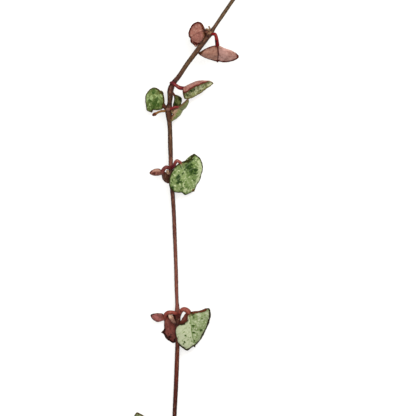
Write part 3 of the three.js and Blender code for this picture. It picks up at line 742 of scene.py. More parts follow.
leaves["heart_a_left"] = dict(
    node="a", slot="leaf_pink", seed=101, camber=-0.07, ribRadius=0.05, ribEnd=0.6, petioleRadius=0.85,
    petiole=[(-0.3, -0.8, -0.2), (-1.4, -0.3, -0.3), (-2.6, 0.3, -0.9)],
    rib=[(-2.6, 0.7, -0.9), (-5.5, -0.7, -1.1), (-7.5, -2.1, -2.1), (-8.8, -3.2, -3.1)],
    left=[(-2.9, 2.3, -1), (-3.9, 3.8, -1.4), (-5.6, 4.3, -1.9), (-7.5, 3.5, -2.7), (-9, 1.5, -3.2),
        (-9.7, -0.7, -3.4), (-9.5, -2.3, -3.3)],
    right=[(-1.8, -0.5, -1.9), (-1.7, -2.8, -2.9), (-3.4, -5.1, -3.7), (-4.9, -5.8, -3.9),
        (-5.8, -6.6, -4), (-6.6, -6.8, -4), (-7.2, -5.95, -3.95), (-7.9, -5.45, -3.8),
        (-8.8, -4.5, -3.5)],
    look=dict(
        # painted light: underRight makes the right half's underside lighter, against the shade its tilt
        # gets
        under=(176, 116, 104), underRight=(184, 123, 112), underDeep=(126, 72, 64),
        underPale=(204, 160, 146), rimUnder=(78, 12, 2), rimWidth=0.98, underFlecks=0.7,
        veinUnder=(140, 86, 76), neck=(106, 58, 46), flush=(136, 92, 66), petiole=(116, 70, 54),
        foot=(110, 80, 60), sheen=0, stain=(66, 34, 26)),
    dark=[(-5.4, -0.2, 0.5, 0.4), (-6.6, 0.6, 0.5, 0.35), (-5.1, -5.2, 0.6, 1), (-5.8, -5.5, 0.6, 1.1),
        (-6.5, -5.4, 0.6, 1.1), (-7.2, -5.1, 0.6, 1)],
    pale=[(-6.2, -6.8, 0.9, 1.5)],
    flush=[(-2.8, 2.6, 1.6, 0.8), (-2, -0.4, 1.6, 0.8), (-2.2, -2.6, 1.2, 0.6)],
    bare=[(-6.3, -6.9, 1, 2)],
    stainsAndPaintedLight=[(-2.6, 0.5, 0.9, 1)],
)
leaves["heart_a_right"] = dict(
    node="a", slot="leaf_pink", seed=102, camber=-0.1, petioleRadius=0.76, flare=0, neckScale=1.25,
    petiole=[(0.3, -1.3, 0), (1.3, -1.3, 1), (2.2, -1.35, 1.7), (2.7, -2.4, 1.8), (3.02, -4.3, 1.4),
        (3.27, -6.3, 0.4)],
    rib=[(3.3, -6.4, 0.4), (3.7, -9, -1.3), (3.6, -11.5, -4.5), (3.3, -13.8, -6.5)],
    left=[(1.6, -6.5, 0.1), (-1.1, -7.3, -0.9), (-3.7, -8.6, -2.5), (-5.35, -9.7, -3.6),
        (-3.6, -10.9, -4.7), (-0.8, -12.2, -5.7), (1.9, -12.9, -6.2), (2.8, -13.15, -6.35)],
    right=[(4.7, -6.8, 0.2), (6.7, -7.7, -0.3), (9.5, -8.6, -0.9), (11.9, -9.9, -1.5),
        (12.9, -11.4, -2.5), (10.5, -12.9, -3.9), (7.1, -13.6, -5.2), (4.6, -13.4, -6),
        (3.8, -13.3, -6.25)],
    look=dict(
        under=(196, 144, 127), underRight=(220, 170, 162), underDeep=(146, 96, 80),
        underPale=(216, 178, 164), rimUnder=(88, 20, 4), veinUnder=(84, 20, 20), petiole=(140, 8, 16),
        foot=(86, 14, 14), neck=(104, 12, 16), flank=(56, 6, 10), sheen=0.1, ribWidth=0.44,
        flush=(138, 106, 72), rimFlush=(92, 58, 34)),
    flush=[(-4.4, -9, 1.5, 0.9)],
    bare=[(4.6, -6.6, 1.6, 1.4), (6.7, -7.5, 1.8, 1.4), (8.8, -8.3, 1.8, 1.4), (10.8, -9.2, 1.4, 1.4),
        (-1.4, -7.2, 1.8, 0.45), (1.4, -6.4, 1.6, 0.5)],
    bold=[(-4, -10.4, 2, 0.6), (-1.6, -12, 2, 0.9), (1, -12.8, 2, 0.9), (3.6, -13.4, 2, 0.9),
        (6.2, -13.5, 2, 0.9), (8.8, -13.3, 2, 0.8), (11, -12.6, 1.6, 0.6), (12.8, -11.4, 1.2, 0.4)],
    # painted shadow: the near-black spot where the petiole meets the blade
    stainsAndPaintedLight=[(2.3, -5, 0.8, 1.3)],
)
leaves["heart_b_right"] = dict(
    node="b", slot="leaf_pink", seed=103, camber=-0.06, petioleRadius=0.74, flare=0.15, neckScale=1.25,
    nicks=(0.1, 1.1), waves=(0.16, 3.2),
    petiole=[(0.8, 0.3, -0.4), (-0.2, 0.6, 0.9), (0.5, 0.5, 1.95), (1.9, -0.45, 2.2), (3.7, -1.6, 1.7),
        (5.2, -1.75, 1)],
    rib=[(5.2, -1.8, 1), (8.9, 0, 0.4), (12.8, 1.35, 0), (16.2, 1, -0.5), (18.8, 0.35, -0.5)],
    left=[(5, -2.9, 2.5), (5.7, -3.9, 3.9), (7.7, -3, 5), (10.5, -1.3, 4.7), (14, 0.3, 3.2),
        (16, 1.1, 2), (17.3, 1.2, 0.9)],
    right=[(5.2, -3.5, 0.8), (5.5, -5.2, 0), (5.9, -6.6, -0.8), (8.1, -6.4, -1.4), (10.3, -5.6, -1.8),
        (13, -4, -1.8), (15.7, -2.1, -1.4), (17.8, -0.5, -0.8)],
    look=dict(
        under=(204, 141, 128), underRight=(160, 102, 96), underDeep=(136, 78, 70),
        underPale=(220, 178, 162), mid=(146, 142, 98), cloud=(168, 176, 118), pale=(226, 228, 188),
        deep=(96, 108, 58), dark=(60, 78, 30), flecks=1, rim=(96, 84, 30), rimUnder=(104, 32, 30),
        petiole=(128, 22, 32), foot=(92, 22, 26), neck=(122, 30, 36), flank=(80, 20, 22), baseFlush=0.2,
        rimWidth=0.45, stain=(102, 26, 36)),
    dark=[(8.7, -3, 0.8, 0.9), (10, -2.6, 0.6, 0.8), (16.9, 1.1, 0.6, 0.5), (12.6, -2.6, 0.5, 0.6),
        (7, -5, 0.8, 0.7), (8, -5.4, 0.6, 0.5), (14.4, -1.4, 0.5, 0.5)],
    pale=[(11.4, -2.8, 1.3, 0.7), (13.2, -1.6, 1.2, 0.7), (17.4, 0.4, 1.1, 1)],
    bare=[(16.8, 1.1, 1.4, 0.6)],
    stainsAndPaintedLight=[(-0.2, 0.5, 0.9, 0.9), (0.9, 0.3, 0.8, 0.7), (5.2, -1.8, 0.9, 0.8)],
)
leaves["heart_b_back"] = dict(
    node="b", slot="leaf_dark", seed=104, camber=0.04,
    petiole=[(0.1, -0.3, -1.2), (0.3, -1.6, -2.6), (0.3, -3.4, -3), (1.1, -4.7, -2.9)],
    rib=[(1.1, -4.7, -2.9), (2.2, -7, -3.4), (2.8, -10.7, -5.2)],
    left=[(2.9, -4.95, -2.8), (4.5, -6.1, -3.3), (4.6, -7.4, -3.8), (4.1, -9.1, -4.6),
        (3.6, -10.3, -5.1)],
    right=[(1.3, -5.8, -3.2), (1.2, -7.3, -3.8), (0.6, -9, -4.5), (0.9, -10.5, -5.2), (2, -11, -5.4)],
    look=dict(
        mid=(88, 98, 46), cloud=(104, 116, 58), pale=(136, 148, 90), deep=(60, 74, 26),
        dark=(36, 46, 10), rimWidth=0.35, under=(120, 66, 50), rim=(60, 58, 18), vein=(70, 84, 44),
        flush=(130, 76, 36), baseFlush=0.35),
    dark=[(4.2, -6.2, 1.3, 1), (1.6, -9, 1, 0.6)],
    pale=[(2.9, -8, 1.1, 0.7)],
    flush=[(1.5, -4.8, 0.7, 0.6)],
)
leaves["heart_c_left"] = dict(
    node="c", slot="leaf_silver", seed=105, camber=0.08, petioleRadius=0.95, neckScale=0.7,
    petiole=[(-0.6, -0.3, 0), (-2.1, 0.9, -0.6), (-3.1, 3.1, -1.5), (-3.1, 5.5, -1.5), (-3.2, 7, -0.9),
        (-3.8, 7.4, -0.3)],
    rib=[(-3.8, 7.4, -0.3), (-5.2, 4.7, 0), (-6.7, 1.3, -0.8), (-7.7, -1.9, -2.2)],
    left=[(-2.8, 6.9, -0.2), (-2.05, 4.7, -0.2), (-2.15, 2, -0.6), (-3, -0.25, -1.4),
        (-5.5, -0.75, -1.9), (-7, -0.7, -2)],
    right=[(-4.9, 8.7, -0.3), (-6.6, 9.4, -0.6), (-8.8, 8.5, -1.2), (-10.4, 6, -1.8), (-10.7, 3.6, -2.2),
        (-10.3, 1.3, -2.5), (-9.8, -1, -2.7), (-8.5, -1.6, -2.5)],
    look=dict(
        mid=(96, 113, 54), cloud=(117, 134, 73), pale=(176, 200, 136), dark=(62, 94, 30),
        deep=(72, 102, 38), rim=(62, 50, 6), rimWidth=0.65, vein=(70, 88, 38), flush=(122, 104, 56),
        rimFlush=(96, 66, 20), petiole=(84, 40, 16), foot=(62, 24, 8), baseFlush=0.15, neck=(84, 86, 34),
        flecks=1, flank=(50, 28, 12), sheen=0.15),
    dark=[(-7.2, 7, 0.8, 1), (-8.5, 3.4, 1, 0.7), (-5.6, 3.8, 1.2, 0.9), (-4.1, 4.9, 0.7, 0.8),
        (-6.5, 2.2, 1, 0.9), (-4.7, 1.8, 1, 0.7), (-7, 0.4, 1.1, 0.8), (-7.8, -1, 0.8, 0.8),
        (-9.9, 1.3, 0.7, 0.7), (-6.8, 8.8, 1, 0.6), (-3.4, 7.2, 0.9, 0.6)],
    pale=[(-9.5, 5.6, 1, 0.7), (-8, 5, 0.7, 0.9), (-6.5, 6.1, 0.7, 0.7), (-5, 4.9, 0.8, 0.9),
        (-3.5, 5.6, 0.5, 0.8), (-8.8, 1.7, 0.5, 0.8), (-7.7, 0.1, 0.5, 0.7), (-9.5, 4, 0.7, 0.7),
        (-10.1, 2.9, 0.5, 0.6), (-9.5, 0.4, 0.8, 0.6)],
    flush=[(-8.6, -1.2, 0.9, 0.3)],
    bold=[(-2.1, 4.4, 1.6, 0.5), (-2.4, 2, 1.6, 0.5)],
)
leaves["heart_c_right"] = dict(
    node="c", slot="leaf_dark", seed=106, camber=0.06, petioleRadius=0.64,
    petiole=[(0.2, -0.4, 0.2), (-0.8, -0.5, 1.2), (0, -0.45, 1.85), (1.2, -0.1, 2.5), (2.6, 0.42, 2.9),
        (4, 0.5, 1.9)],
    rib=[(4, 0.6, 1.8), (5.2, -0.2, -0.6), (5.9, -0.9, -3.8)],
    left=[(5.2, 1.3, 1.9), (6.8, 2.5, 1.6), (8.5, 4.2, 0.8), (8.9, 3.3, -0.4), (8.3, 1.6, -1.8),
        (7.2, 0.1, -3.2)],
    right=[(2.5, -0.2, 2.1), (1.1, -0.6, 1.9), (0.9, -1.6, 1.9), (1.5, -2.7, 2), (0.8, -4.3, 1.7),
        (0.7, -5.9, 1), (2.1, -5.2, 0), (3.9, -3.7, -1.6), (5.3, -2, -3)],
    look=dict(
        mid=(124, 132, 74), cloud=(140, 148, 90), pale=(178, 184, 134), deep=(92, 100, 50),
        dark=(88, 34, 32), under=(164, 130, 106), rim=(122, 100, 66), rimWidth=0.5, vein=(84, 92, 48),
        flush=(168, 138, 112), petiole=(128, 40, 42), foot=(84, 40, 36), neck=(142, 50, 50),
        flank=(88, 24, 26), sheen=0.15, stain=(140, 98, 86)),
    dark=[(1.8, -0.8, 1.2, 1.3)],
    flush=[(2.2, -2.4, 0.9, 1), (1.2, -4.4, 0.9, 1), (3, -1.2, 0.8, 1), (1.6, -3.4, 0.9, 1),
        (3.8, -0.4, 0.7, 0.8)],
    # painted highlight: the light stain colour and these spots make the petiole's foot grey-pink where it
    # crosses the stem
    stainsAndPaintedLight=[(-0.6, -0.4, 1.3, 1.2)],
)
leaves["heart_d_left"] = dict(
    node="d", slot="leaf_maroon", seed=107, camber=-0.06, ribWarp=4, petioleRadius=0.84, neckScale=1.1,
    petiole=[(-0.3, -0.5, 0.1), (-1.1, -0.3, 1.5), (-2.2, -0.1, 2.6), (-3.2, -0.9, 2.6),
        (-3.9, -2.3, 1.5)],
    rib=[(-4.1, -2.3, 1.5), (-3.7, -3.9, -0.7), (-3.1, -5.9, -2.6)],
    left=[(-4.8, -0.9, 2), (-6.2, -0.6, 2), (-7.9, -1, 1.6), (-9.3, -2, 0.9), (-9.6, -2.75, 0.5),
        (-8.2, -3.5, -0.2), (-6.3, -3.45, -0.8), (-4.5, -2.8, -1.2)],
    right=[(-3.1, -2.4, 0.4), (-1.8, -2.4, -0.6), (-0.5, -3.3, -1.6), (0.1, -5.1, -2.3),
        (-0.9, -7.3, -2.9), (-2, -7, -3), (-2.7, -6.4, -2.9)],
    look=dict(
        # painted shade: underRight is the dark brown of the right half's underside in the shade under the
        # stem
        under=(172, 112, 98), underRight=(84, 52, 36), underDeep=(116, 62, 52),
        underPale=(212, 164, 146), underFlecks=0.3, rimUnder=(100, 48, 40), rimWidth=0.4,
        veinUnder=(100, 46, 40), petiole=(124, 54, 52), foot=(112, 60, 52), neck=(146, 76, 68),
        sheen=0.5, mid=(96, 62, 42), cloud=(84, 50, 36), pale=(120, 84, 62), deep=(66, 36, 24),
        dark=(50, 24, 18), vein=(80, 44, 32), rim=(50, 18, 14), flush=(110, 56, 44)),
    dark=[(-9.4, -2.3, 0.7, 0.9), (-7.6, -3, 0.9, 0.7), (-6, -3.2, 0.8, 0.6)],
    # painted highlights: these pale spots light the upper side of the lens
    pale=[(-6.6, -1, 0.9, 1.2), (-5.2, -1.2, 0.8, 1), (-7.9, -1.5, 0.7, 0.9)],
    bare=[(-6.2, -0.4, 1.6, 0.3), (-7.9, -0.8, 1.2, 0.3)],
)
leaves["heart_d_right"] = dict(
    node="d", slot="leaf_silver", seed=108, camber=0.1, petioleRadius=0.8,
    petiole=[(0.2, -0.1, 0.1), (1.25, 0.4, 1.4), (1.9, 1.9, 2.7), (2.7, 2.8, 3.2), (3.7, 2.4, 3),
        (4.5, 1.7, 2.6)],
    rib=[(4.5, 1.9, 2.6), (5.8, -2.2, 2.9), (7.6, -7.1, 1.6), (10.5, -11, -0.9)],
    left=[(6.6, 2.6, 2.6), (8.65, 3.7, 2.2), (9.5, 5.3, 1.6), (10.3, 6.05, 1.3), (11.4, 5.5, 0.5),
        (13, 4, -0.6), (14.1, 1.1, -2), (13.7, -2.9, -3), (12.35, -6.5, -2.95), (11, -9.15, -1.8)],
    right=[(3, 1, 2.5), (0.9, -1.4, 2), (-0.6, -5, 1.7), (-0.6, -8.9, 1.5), (0.9, -10.8, 1.3),
        (3.1, -11.5, 0.9), (4.7, -11.5, 0.5), (6.6, -12.5, -0.2), (9.2, -11.3, -0.9)],
    look=dict(
        mid=(120, 146, 82), cloud=(146, 168, 106), pale=(212, 226, 176), deep=(78, 108, 42),
        dark=(40, 70, 18), flecks=1, rim=(46, 46, 2), rimWidth=0.78, vein=(178, 196, 146), ribShow=0.5,
        ribWidth=0.26, flush=(116, 82, 42), rimFlush=(86, 62, 20), neck=(152, 80, 70),
        petiole=(148, 68, 64), foot=(86, 34, 34), stain=(108, 30, 40), sheen=0.6),
    dark=[(7.6, 0.2, 1.5, 1.1), (9, -1.3, 1.3, 1), (11.1, -1.3, 1, 1), (8.2, 2.2, 1.2, 1),
        (9.2, -2.6, 1, 1), (10.7, -2.9, 0.8, 1), (9.9, 3.4, 0.9, 0.9), (9.4, 1.2, 0.7, 0.8),
        (4.9, -3.4, 0.7, 0.9), (3.3, -4.4, 1.1, 1), (3.2, -5.7, 0.9, 0.9), (3.5, -6.9, 1.1, 1),
        (4.7, -6.7, 0.6, 0.8), (4.9, -9.4, 0.7, 0.7), (5.1, 0.2, 1, 0.8), (5.9, -1.5, 0.8, 0.7),
        (1.2, -5.3, 0.7, 0.7), (1.8, -2.4, 0.5, 0.6), (0.7, -9.2, 1.1, 0.6), (10.3, -5.8, 0.8, 0.5),
        (7.3, -9.2, 0.9, 0.5), (7.1, -2.2, 0.8, 0.5)],
    pale=[(13.1, 0.6, 1.1, 1), (13.1, -1.4, 1.1, 1), (13, -3.3, 1.3, 1), (12.3, -5.6, 1.2, 1),
        (12.5, 2.3, 1, 0.9), (11.6, -7.4, 1, 0.8), (11.5, 4.1, 0.7, 0.6), (6.1, -2.4, 0.7, 0.7),
        (6.3, -5.3, 0.8, 0.7), (5.7, -8.3, 0.8, 0.7), (6.3, -10.5, 1, 0.7), (1.8, -8.3, 0.8, 0.6),
        (2, -1.3, 0.7, 0.6), (11.7, -3.5, 0.7, 0.7), (7.9, -10.5, 1, 0.5)],
    flush=[(10.2, -10.8, 0.9, 1), (2.6, 0.8, 0.8, 0.4)],
    bare=[(7.6, 3.2, 1.6, 0.12)],
    bold=[(14.1, 0.8, 1.8, 0.3), (13.9, -2.2, 1.8, 0.4), (13.1, -4.8, 1.6, 0.4), (12, -7.6, 1.6, 0.45)],
    stainsAndPaintedLight=[(0.9, 0.3, 0.9, 1), (1.4, 1.2, 0.6, 0.8)],
)
leaves["heart_e_left"] = dict(
    node="e", slot="leaf_maroon", seed=109, camber=0, ribWarp=4.5, petioleRadius=0.9, neckScale=1.1,
    petiole=[(-0.4, 0, 0.6), (-1.3, 0.3, 1.6), (-2.8, 0.6, 2.2), (-4.3, 0.4, 2), (-5.3, -0.5, 1),
        (-5.6, -1.8, -0.2)],
    rib=[(-5.6, -1.8, -0.2), (-5.4, -4.5, -1.9), (-5.9, -7, -2.5), (-7.35, -8.6, -2.7)],
    left=[(-6.7, -0.1, 1), (-8.4, 0.1, 1.2), (-10.4, 0, 0.9), (-12, -0.5, 0.4), (-12, -1.4, 0.1),
        (-11, -2.7, -0.6), (-8.8, -3.7, -1.5), (-6.4, -2.7, -2), (-5, -4.7, -2.7), (-5.7, -7.4, -2.75)],
    right=[(-4.2, -0.6, -0.7), (-2, -0.55, -1.7), (0.3, -1.9, -2.4), (1.4, -4.7, -2.8),
        (1.5, -7.9, -2.85), (0.5, -11, -2.85), (-1.5, -13.3, -2.85), (-3.3, -12.7, -2.85),
        (-5.2, -11.2, -2.85), (-6.2, -9.4, -2.8)],
    look=dict(
        under=(190, 116, 112), underRight=(136, 71, 63), underDeep=(94, 48, 46), underPale=(150, 92, 84),
        underFlecks=0.35, rimUnder=(44, 8, 4), rimWidth=0.5, veinUnder=(84, 34, 32),
        petiole=(158, 76, 66), foot=(92, 32, 32), neck=(146, 66, 52), flush=(156, 76, 54),
        flank=(96, 36, 26), sheen=0.4),
    dark=[(-3.6, -10.4, 1.8, 0.55), (-1.6, -12, 1.6, 0.6), (-11.6, -1, 0.5, 0.6)],
    pale=[(-1.6, -5, 1.6, 0.35), (-8, -1.2, 1.4, 0.5), (-4.5, -3.6, 1.3, 0.45), (-4, -6.6, 1.3, 0.4)],
    flush=[(-5.8, -1.6, 1.1, 0.8), (-5.6, -4.2, 1.1, 0.35)],
    bare=[(-7.4, 0.2, 1.6, 0.5), (-9.6, 0.2, 1.6, 0.5), (-10.4, -3, 1.4, 0.4), (-8.2, -3.6, 1.6, 0.4)],
    bold=[(-6, -10, 2, 1), (-4.6, -11.8, 2, 1.1), (-2.8, -13, 2, 1), (-6.8, -8.6, 1.4, 0.6)],
)
# The lobe beside the petiole is rolled inwards: its margin comes back over the blade
leaves["heart_e_right"] = dict(
    node="e", slot="leaf_silver", seed=110, camber=0.08, petioleRadius=0.9, neckScale=1.4,
    petiole=[(0.2, -1.9, 0.2), (0.8, -0.5, 1.3), (1.5, 1, 2.1), (2.8, 2, 2.9), (4.2, 1.5, 3.2),
        (5.1, 0.3, 2.9)],
    rib=[(5.2, 0.3, 2.9), (5.9, -3.8, 3.2), (6.6, -9.7, 2.2), (7.9, -15.25, 0.4)],
    left=[(7.6, 0.95, 2.8), (10.8, 1.3, 1.9), (14.2, 2.45, 0.4), (14.95, -0.6, -1), (14.15, -4.2, -1.8),
        (12.4, -7.8, -2), (10.75, -11, -1.5), (9, -13.4, -0.6), (8.1, -14.1, 0)],
    right=[(4.7, -0.9, 4.2), (4.6, -2.7, 4.2), (3.2, -4.1, 3.9), (0.9, -4.8, 2.7), (-0.6, -7.7, 1.9),
        (-0.2, -10.8, 1.7), (0.85, -14.3, 1.4), (2.7, -15.85, 1.2), (4.3, -16.65, 1), (5.9, -15.6, 0.7),
        (7.1, -14.7, 0.5)],
    roll={"right": [(0, 0, 0, 0), (0.04, -2.6, -0.1, -0.3), (0.13, -5.1, -1.3, -0.5),
        (0.23, -4.6, -1.6, -0.55), (0.35, 0, 0, 0), (1, 0, 0, 0)]},
    look=dict(
        mid=(144, 162, 110), cloud=(168, 183, 140), pale=(208, 218, 184), deep=(112, 138, 72),
        dark=(52, 76, 24), rim=(40, 30, 0), rimWidth=0.92, flecks=1, vein=(112, 140, 74), ribShow=0.8,
        ribWidth=0.26, rimFlush=(108, 52, 28), petiole=(160, 80, 70), foot=(92, 32, 32),
        neck=(146, 70, 58), flank=(96, 36, 26), stain=(80, 32, 28), under=(116, 60, 50),
        underRight=(118, 60, 50), underDeep=(88, 42, 34), underPale=(146, 86, 74), rimUnder=(88, 36, 26),
        flush=(120, 62, 42), sheen=0.4, halfShow=0.75, halfTone=(212, 219, 188)),
    dark=[(10.6, -7.6, 0.7, 1), (7.2, -8.8, 0.6, 1.2), (8.5, -7.7, 0.5, 0.9), (7.2, -5.7, 0.7, 1),
        (7.2, -2, 0.8, 0.8), (10.8, -2, 0.5, 0.8), (3, -12.7, 0.4, 1), (2.8, -13.7, 0.4, 1),
        (3.4, -9.7, 0.6, 0.8), (7.6, -12.6, 0.7, 0.8), (6.7, -0.5, 1.2, 0.9), (8.6, -2.2, 0.6, 0.5),
        (8.6, -9.2, 0.6, 0.6), (5.8, -3.8, 0.8, 0.5), (6.2, -6.9, 0.6, 0.4)],
    pale=[(1.6, -7.4, 1.8, 0.8), (2.5, -11, 1.8, 0.7), (2.9, -5.1, 1.6, 0.7), (9.7, -0.4, 1.6, 0.7),
        (12.8, 0.2, 1.4, 0.6), (9.2, -4.2, 1.1, 0.5), (4.3, -6.9, 1.4, 0.6), (4.3, -13.7, 1.4, 0.6)],
    flush=[(7.4, 1, 0.9, 1.3), (9, 1.2, 0.9, 1.3), (10.6, 1.4, 0.9, 1.3), (12.2, 1.8, 0.8, 1.2),
        (13.1, 2.2, 0.5, 0.7)],
    bare=[(-0.6, -6.4, 2, 1.3), (-0.5, -9.4, 2, 1.3), (0.3, -12.2, 1.6, 1), (14.2, 2.4, 0.9, 0.8)],
    bold=[(7.4, 1, 1, 0.3), (9, 1.2, 1, 0.3), (14.8, -0.8, 2, 0.7), (13.6, -4.4, 2.4, 1),
        (11.4, -9.4, 2.4, 0.9), (8.8, -13.2, 1.6, 0.5), (2.4, -15.4, 2, 0.2), (5.4, -15.8, 2, 0.2)],
    stainsAndPaintedLight=[(0.3, -1.4, 1, 1.1), (0.9, -0.2, 0.8, 1), (1.4, 0.9, 0.7, 0.8)],
)
leaves["heart_f_left"] = dict(
    node="f", slot="leaf_silver", seed=111, camber=0.07,
    petiole=[(-0.3, 0.2, 0.2), (-2.8, 2.2, 1.6), (-6, 4, 1.8), (-9.2, 4.7, 1.2)],
    rib=[(-9.2, 4.7, 1.2), (-11.9, 1.8, 0.9), (-15, -1.2, -0.5), (-18.5, -3.7, -2.3)],
    left=[(-7.6, 2.7, 0.7), (-7.3, -0.9, -0.2), (-9.6, -5, -1.5), (-13.2, -6.8, -2.55),
        (-16.2, -5.8, -2.6), (-17.4, -4.6, -2.5)],
    right=[(-10.6, 7.5, 1), (-13.3, 9.7, 0.4), (-15.7, 11.2, -0.2), (-16.9, 11.5, -0.6),
        (-18.3, 9.6, -1.4), (-19.8, 5.4, -2.4), (-19.8, 0.9, -2.6), (-19.1, -2.3, -2.55)],
    look=dict(
        mid=(112, 120, 80), cloud=(138, 154, 108), pale=(178, 190, 150), dark=(60, 84, 36),
        rim=(84, 66, 36), vein=(108, 124, 78)),
    dark=[(-12.5, -1.5, 1.2, 0.9), (-10.2, 0.5, 1, 0.8), (-13.6, 4.6, 1.3, 0.9), (-16.4, 5.2, 1.2, 0.8),
        (-11.5, 4.8, 0.9, 0.6), (-15.4, -3.8, 1, 0.7), (-17.8, 1.4, 0.9, 0.7)],
    pale=[(-10.5, -3.2, 1.5, 0.8), (-15.6, 8.6, 1.6, 0.8), (-18.2, 4, 1.2, 0.7), (-14, 1.5, 1.1, 0.7),
        (-8.8, 0.4, 1.1, 0.6), (-12.6, 7.2, 1.2, 0.7)],
)
leaves["heart_f_right"] = dict(
    node="f", slot="leaf_silver", seed=112, camber=0.07,
    petiole=[(0.4, 0.2, 0.2), (2.7, 2, 1.6), (5.4, 2.8, 1.9), (7.7, 1.8, 1.3)],
    rib=[(7.7, 1.8, 1.3), (9.6, -1.6, 1.3), (11.5, -5.4, -0.3), (13.8, -9.2, -2.3)],
    left=[(9.7, 3.8, 1.1), (13.4, 4.8, 0.2), (16.8, 3.2, -0.8), (18.2, -0.7, -2.1), (17.1, -4.9, -2.6),
        (14.8, -7.7, -2.55)],
    right=[(6.3, -0.2, 0.9), (4.8, -3.4, 0.2), (5.2, -7.4, -0.8), (7.7, -9.9, -2), (10.6, -10.1, -2.6),
        (12.5, -9, -2.55)],
    look=dict(
        mid=(118, 136, 86), cloud=(144, 160, 112), pale=(184, 194, 154), dark=(60, 86, 38),
        rim=(72, 62, 32), vein=(110, 128, 80)),
    dark=[(11.8, 1.2, 1.2, 0.9), (8.2, -4.4, 1.1, 0.9), (14.4, -1.6, 1.2, 0.8), (10.2, -7.2, 1, 0.7),
        (14.8, 1.8, 0.9, 0.7), (13.4, -5.4, 0.9, 0.7), (6.8, -6, 0.8, 0.6)],
    pale=[(15.8, 0.6, 1.4, 0.8), (6.4, -3.4, 1.2, 0.8), (9.6, -3.2, 0.9, 0.7), (15.6, -4, 1.3, 0.8),
        (8.4, -8.4, 1.2, 0.7), (12.2, -2.4, 0.9, 0.6), (11.6, 3.4, 1.1, 0.6)],
)
leaves["young_heart_left"] = dict(
    node="tip", slot="leaf_dark", seed=113, rows=60, columns=14, camber=0.01, ribRadius=0.14,
    petioleRadius=0.38, nicks=(0.02, 1.1), waves=(0.04, 3.2), swells=(0.03, 5.5),
    petiole=[(-0.2, 1, 0), (-1.3, 0, 0.5), (-1.8, -1.3, 0.9)],
    rib=[(-1.8, -1.7, 0.9), (-2.2, -3.5, 0.6), (-2.6, -5.9, -0.2)],
    left=[(-1.1, -2.5, 1.5), (-1.1, -4, 1.2), (-1.9, -5.3, 0.4)],
    right=[(-2.6, -2.1, 1.5), (-3.5, -3.3, 1), (-3.4, -4.8, 0.2)],
    look=dict(
        mid=(78, 88, 46), cloud=(96, 106, 60), pale=(130, 140, 92), dark=(52, 60, 28),
        under=(128, 72, 60), underDeep=(104, 56, 48), rim=(96, 56, 40), rimWidth=0.26, vein=(92, 92, 54),
        petiole=(120, 62, 50), foot=(100, 58, 46), neck=(110, 76, 50)),
)
leaves["young_heart_right"] = dict(
    leaves["young_heart_left"],
    seed=114,
    petiole=[(0.2, 1, 0), (1.3, 0, 0.5), (1.9, -1.2, 0.9)],
    rib=[(2, -1.5, 0.9), (2.5, -3.2, 0.6), (3.1, -5.5, -0.2)],
    left=[(2.8, -1.8, 1.5), (3.7, -3.1, 1), (3.7, -4.5, 0.2)],
    right=[(1.3, -2.3, 1.5), (1.3, -3.8, 1.2), (2.2, -5, 0.4)],
)

for name, own in leaves.items():
    leaf, look = {**commonLeaf, **own}, {**commonLook, **own["look"]}
    surface, along = bladeSurface(leaf)
    skins = [bladeSkin(leaf, surface, along), petioleSkin(leaf, surface)]
    for skin in skins:
        skin["points"] = skin["points"] + nodePlaces[leaf["node"]]
    materials = [bladeFinish(name, look), petioleFinish(name, look)]
    makePiece(name, skins, materials, name.replace("heart", "leaf"))
    print("leaf made:", name)


# Dry growth: a colour ramp along it, with fine streaks and dark creases
def dryFinish(name, dry):
    finish = Finish(name, {"Specular IOR Level": 0.2})
    streak = finish.noise(finish.grain(0.6, 0.35), 0.35, 3)
    blotch = finish.noise(finish.place(), 0.6, 3)
    colour = finish.layered(finish.ramp(finish.field("reach"), dry["stops"]), [
        (streak, (0.48, 0.34), 0.7, dry["crease"]),
        (blotch, (0.55, 0.7), 0.5, dry["crease"]),
    ])
    return finish.show(colour, 0.62 + (blotch - 0.5) * 0.3, finish.bumped(streak + blotch, 0.06, 0.6))


# Dry stalk: rings round a line, with a radius given at shares of its length
def stalkSkin(dry, points, seed):
    creases, startBulge, endBulge = (0.09, 0.7, 0.3), 0.5, 0.8
    line = smoothLine(np.asarray(points, float) + nodePlaces[dry["node"]], np.linspace(0, 1, dry["rows"]))
    shares = travelled(line) / travelled(line)[-1]
    radii = np.interp(shares, *np.asarray(dry["profile"]).T)
    radii = np.convolve(np.pad(radii, 2, "edge"), np.full(5, 0.2), "valid")  # a mean of five
    line, radii = roundedBothEnds(line, radii, startBulge, endBulge)
    relief = tubeRelief(line, dry["sides"], 0.5, creases, seed)
    reached = travelled(line)
    return tubeSkin(line, radii[:, None] * (1 + relief), 0, {"reach": reached / reached[-1]})


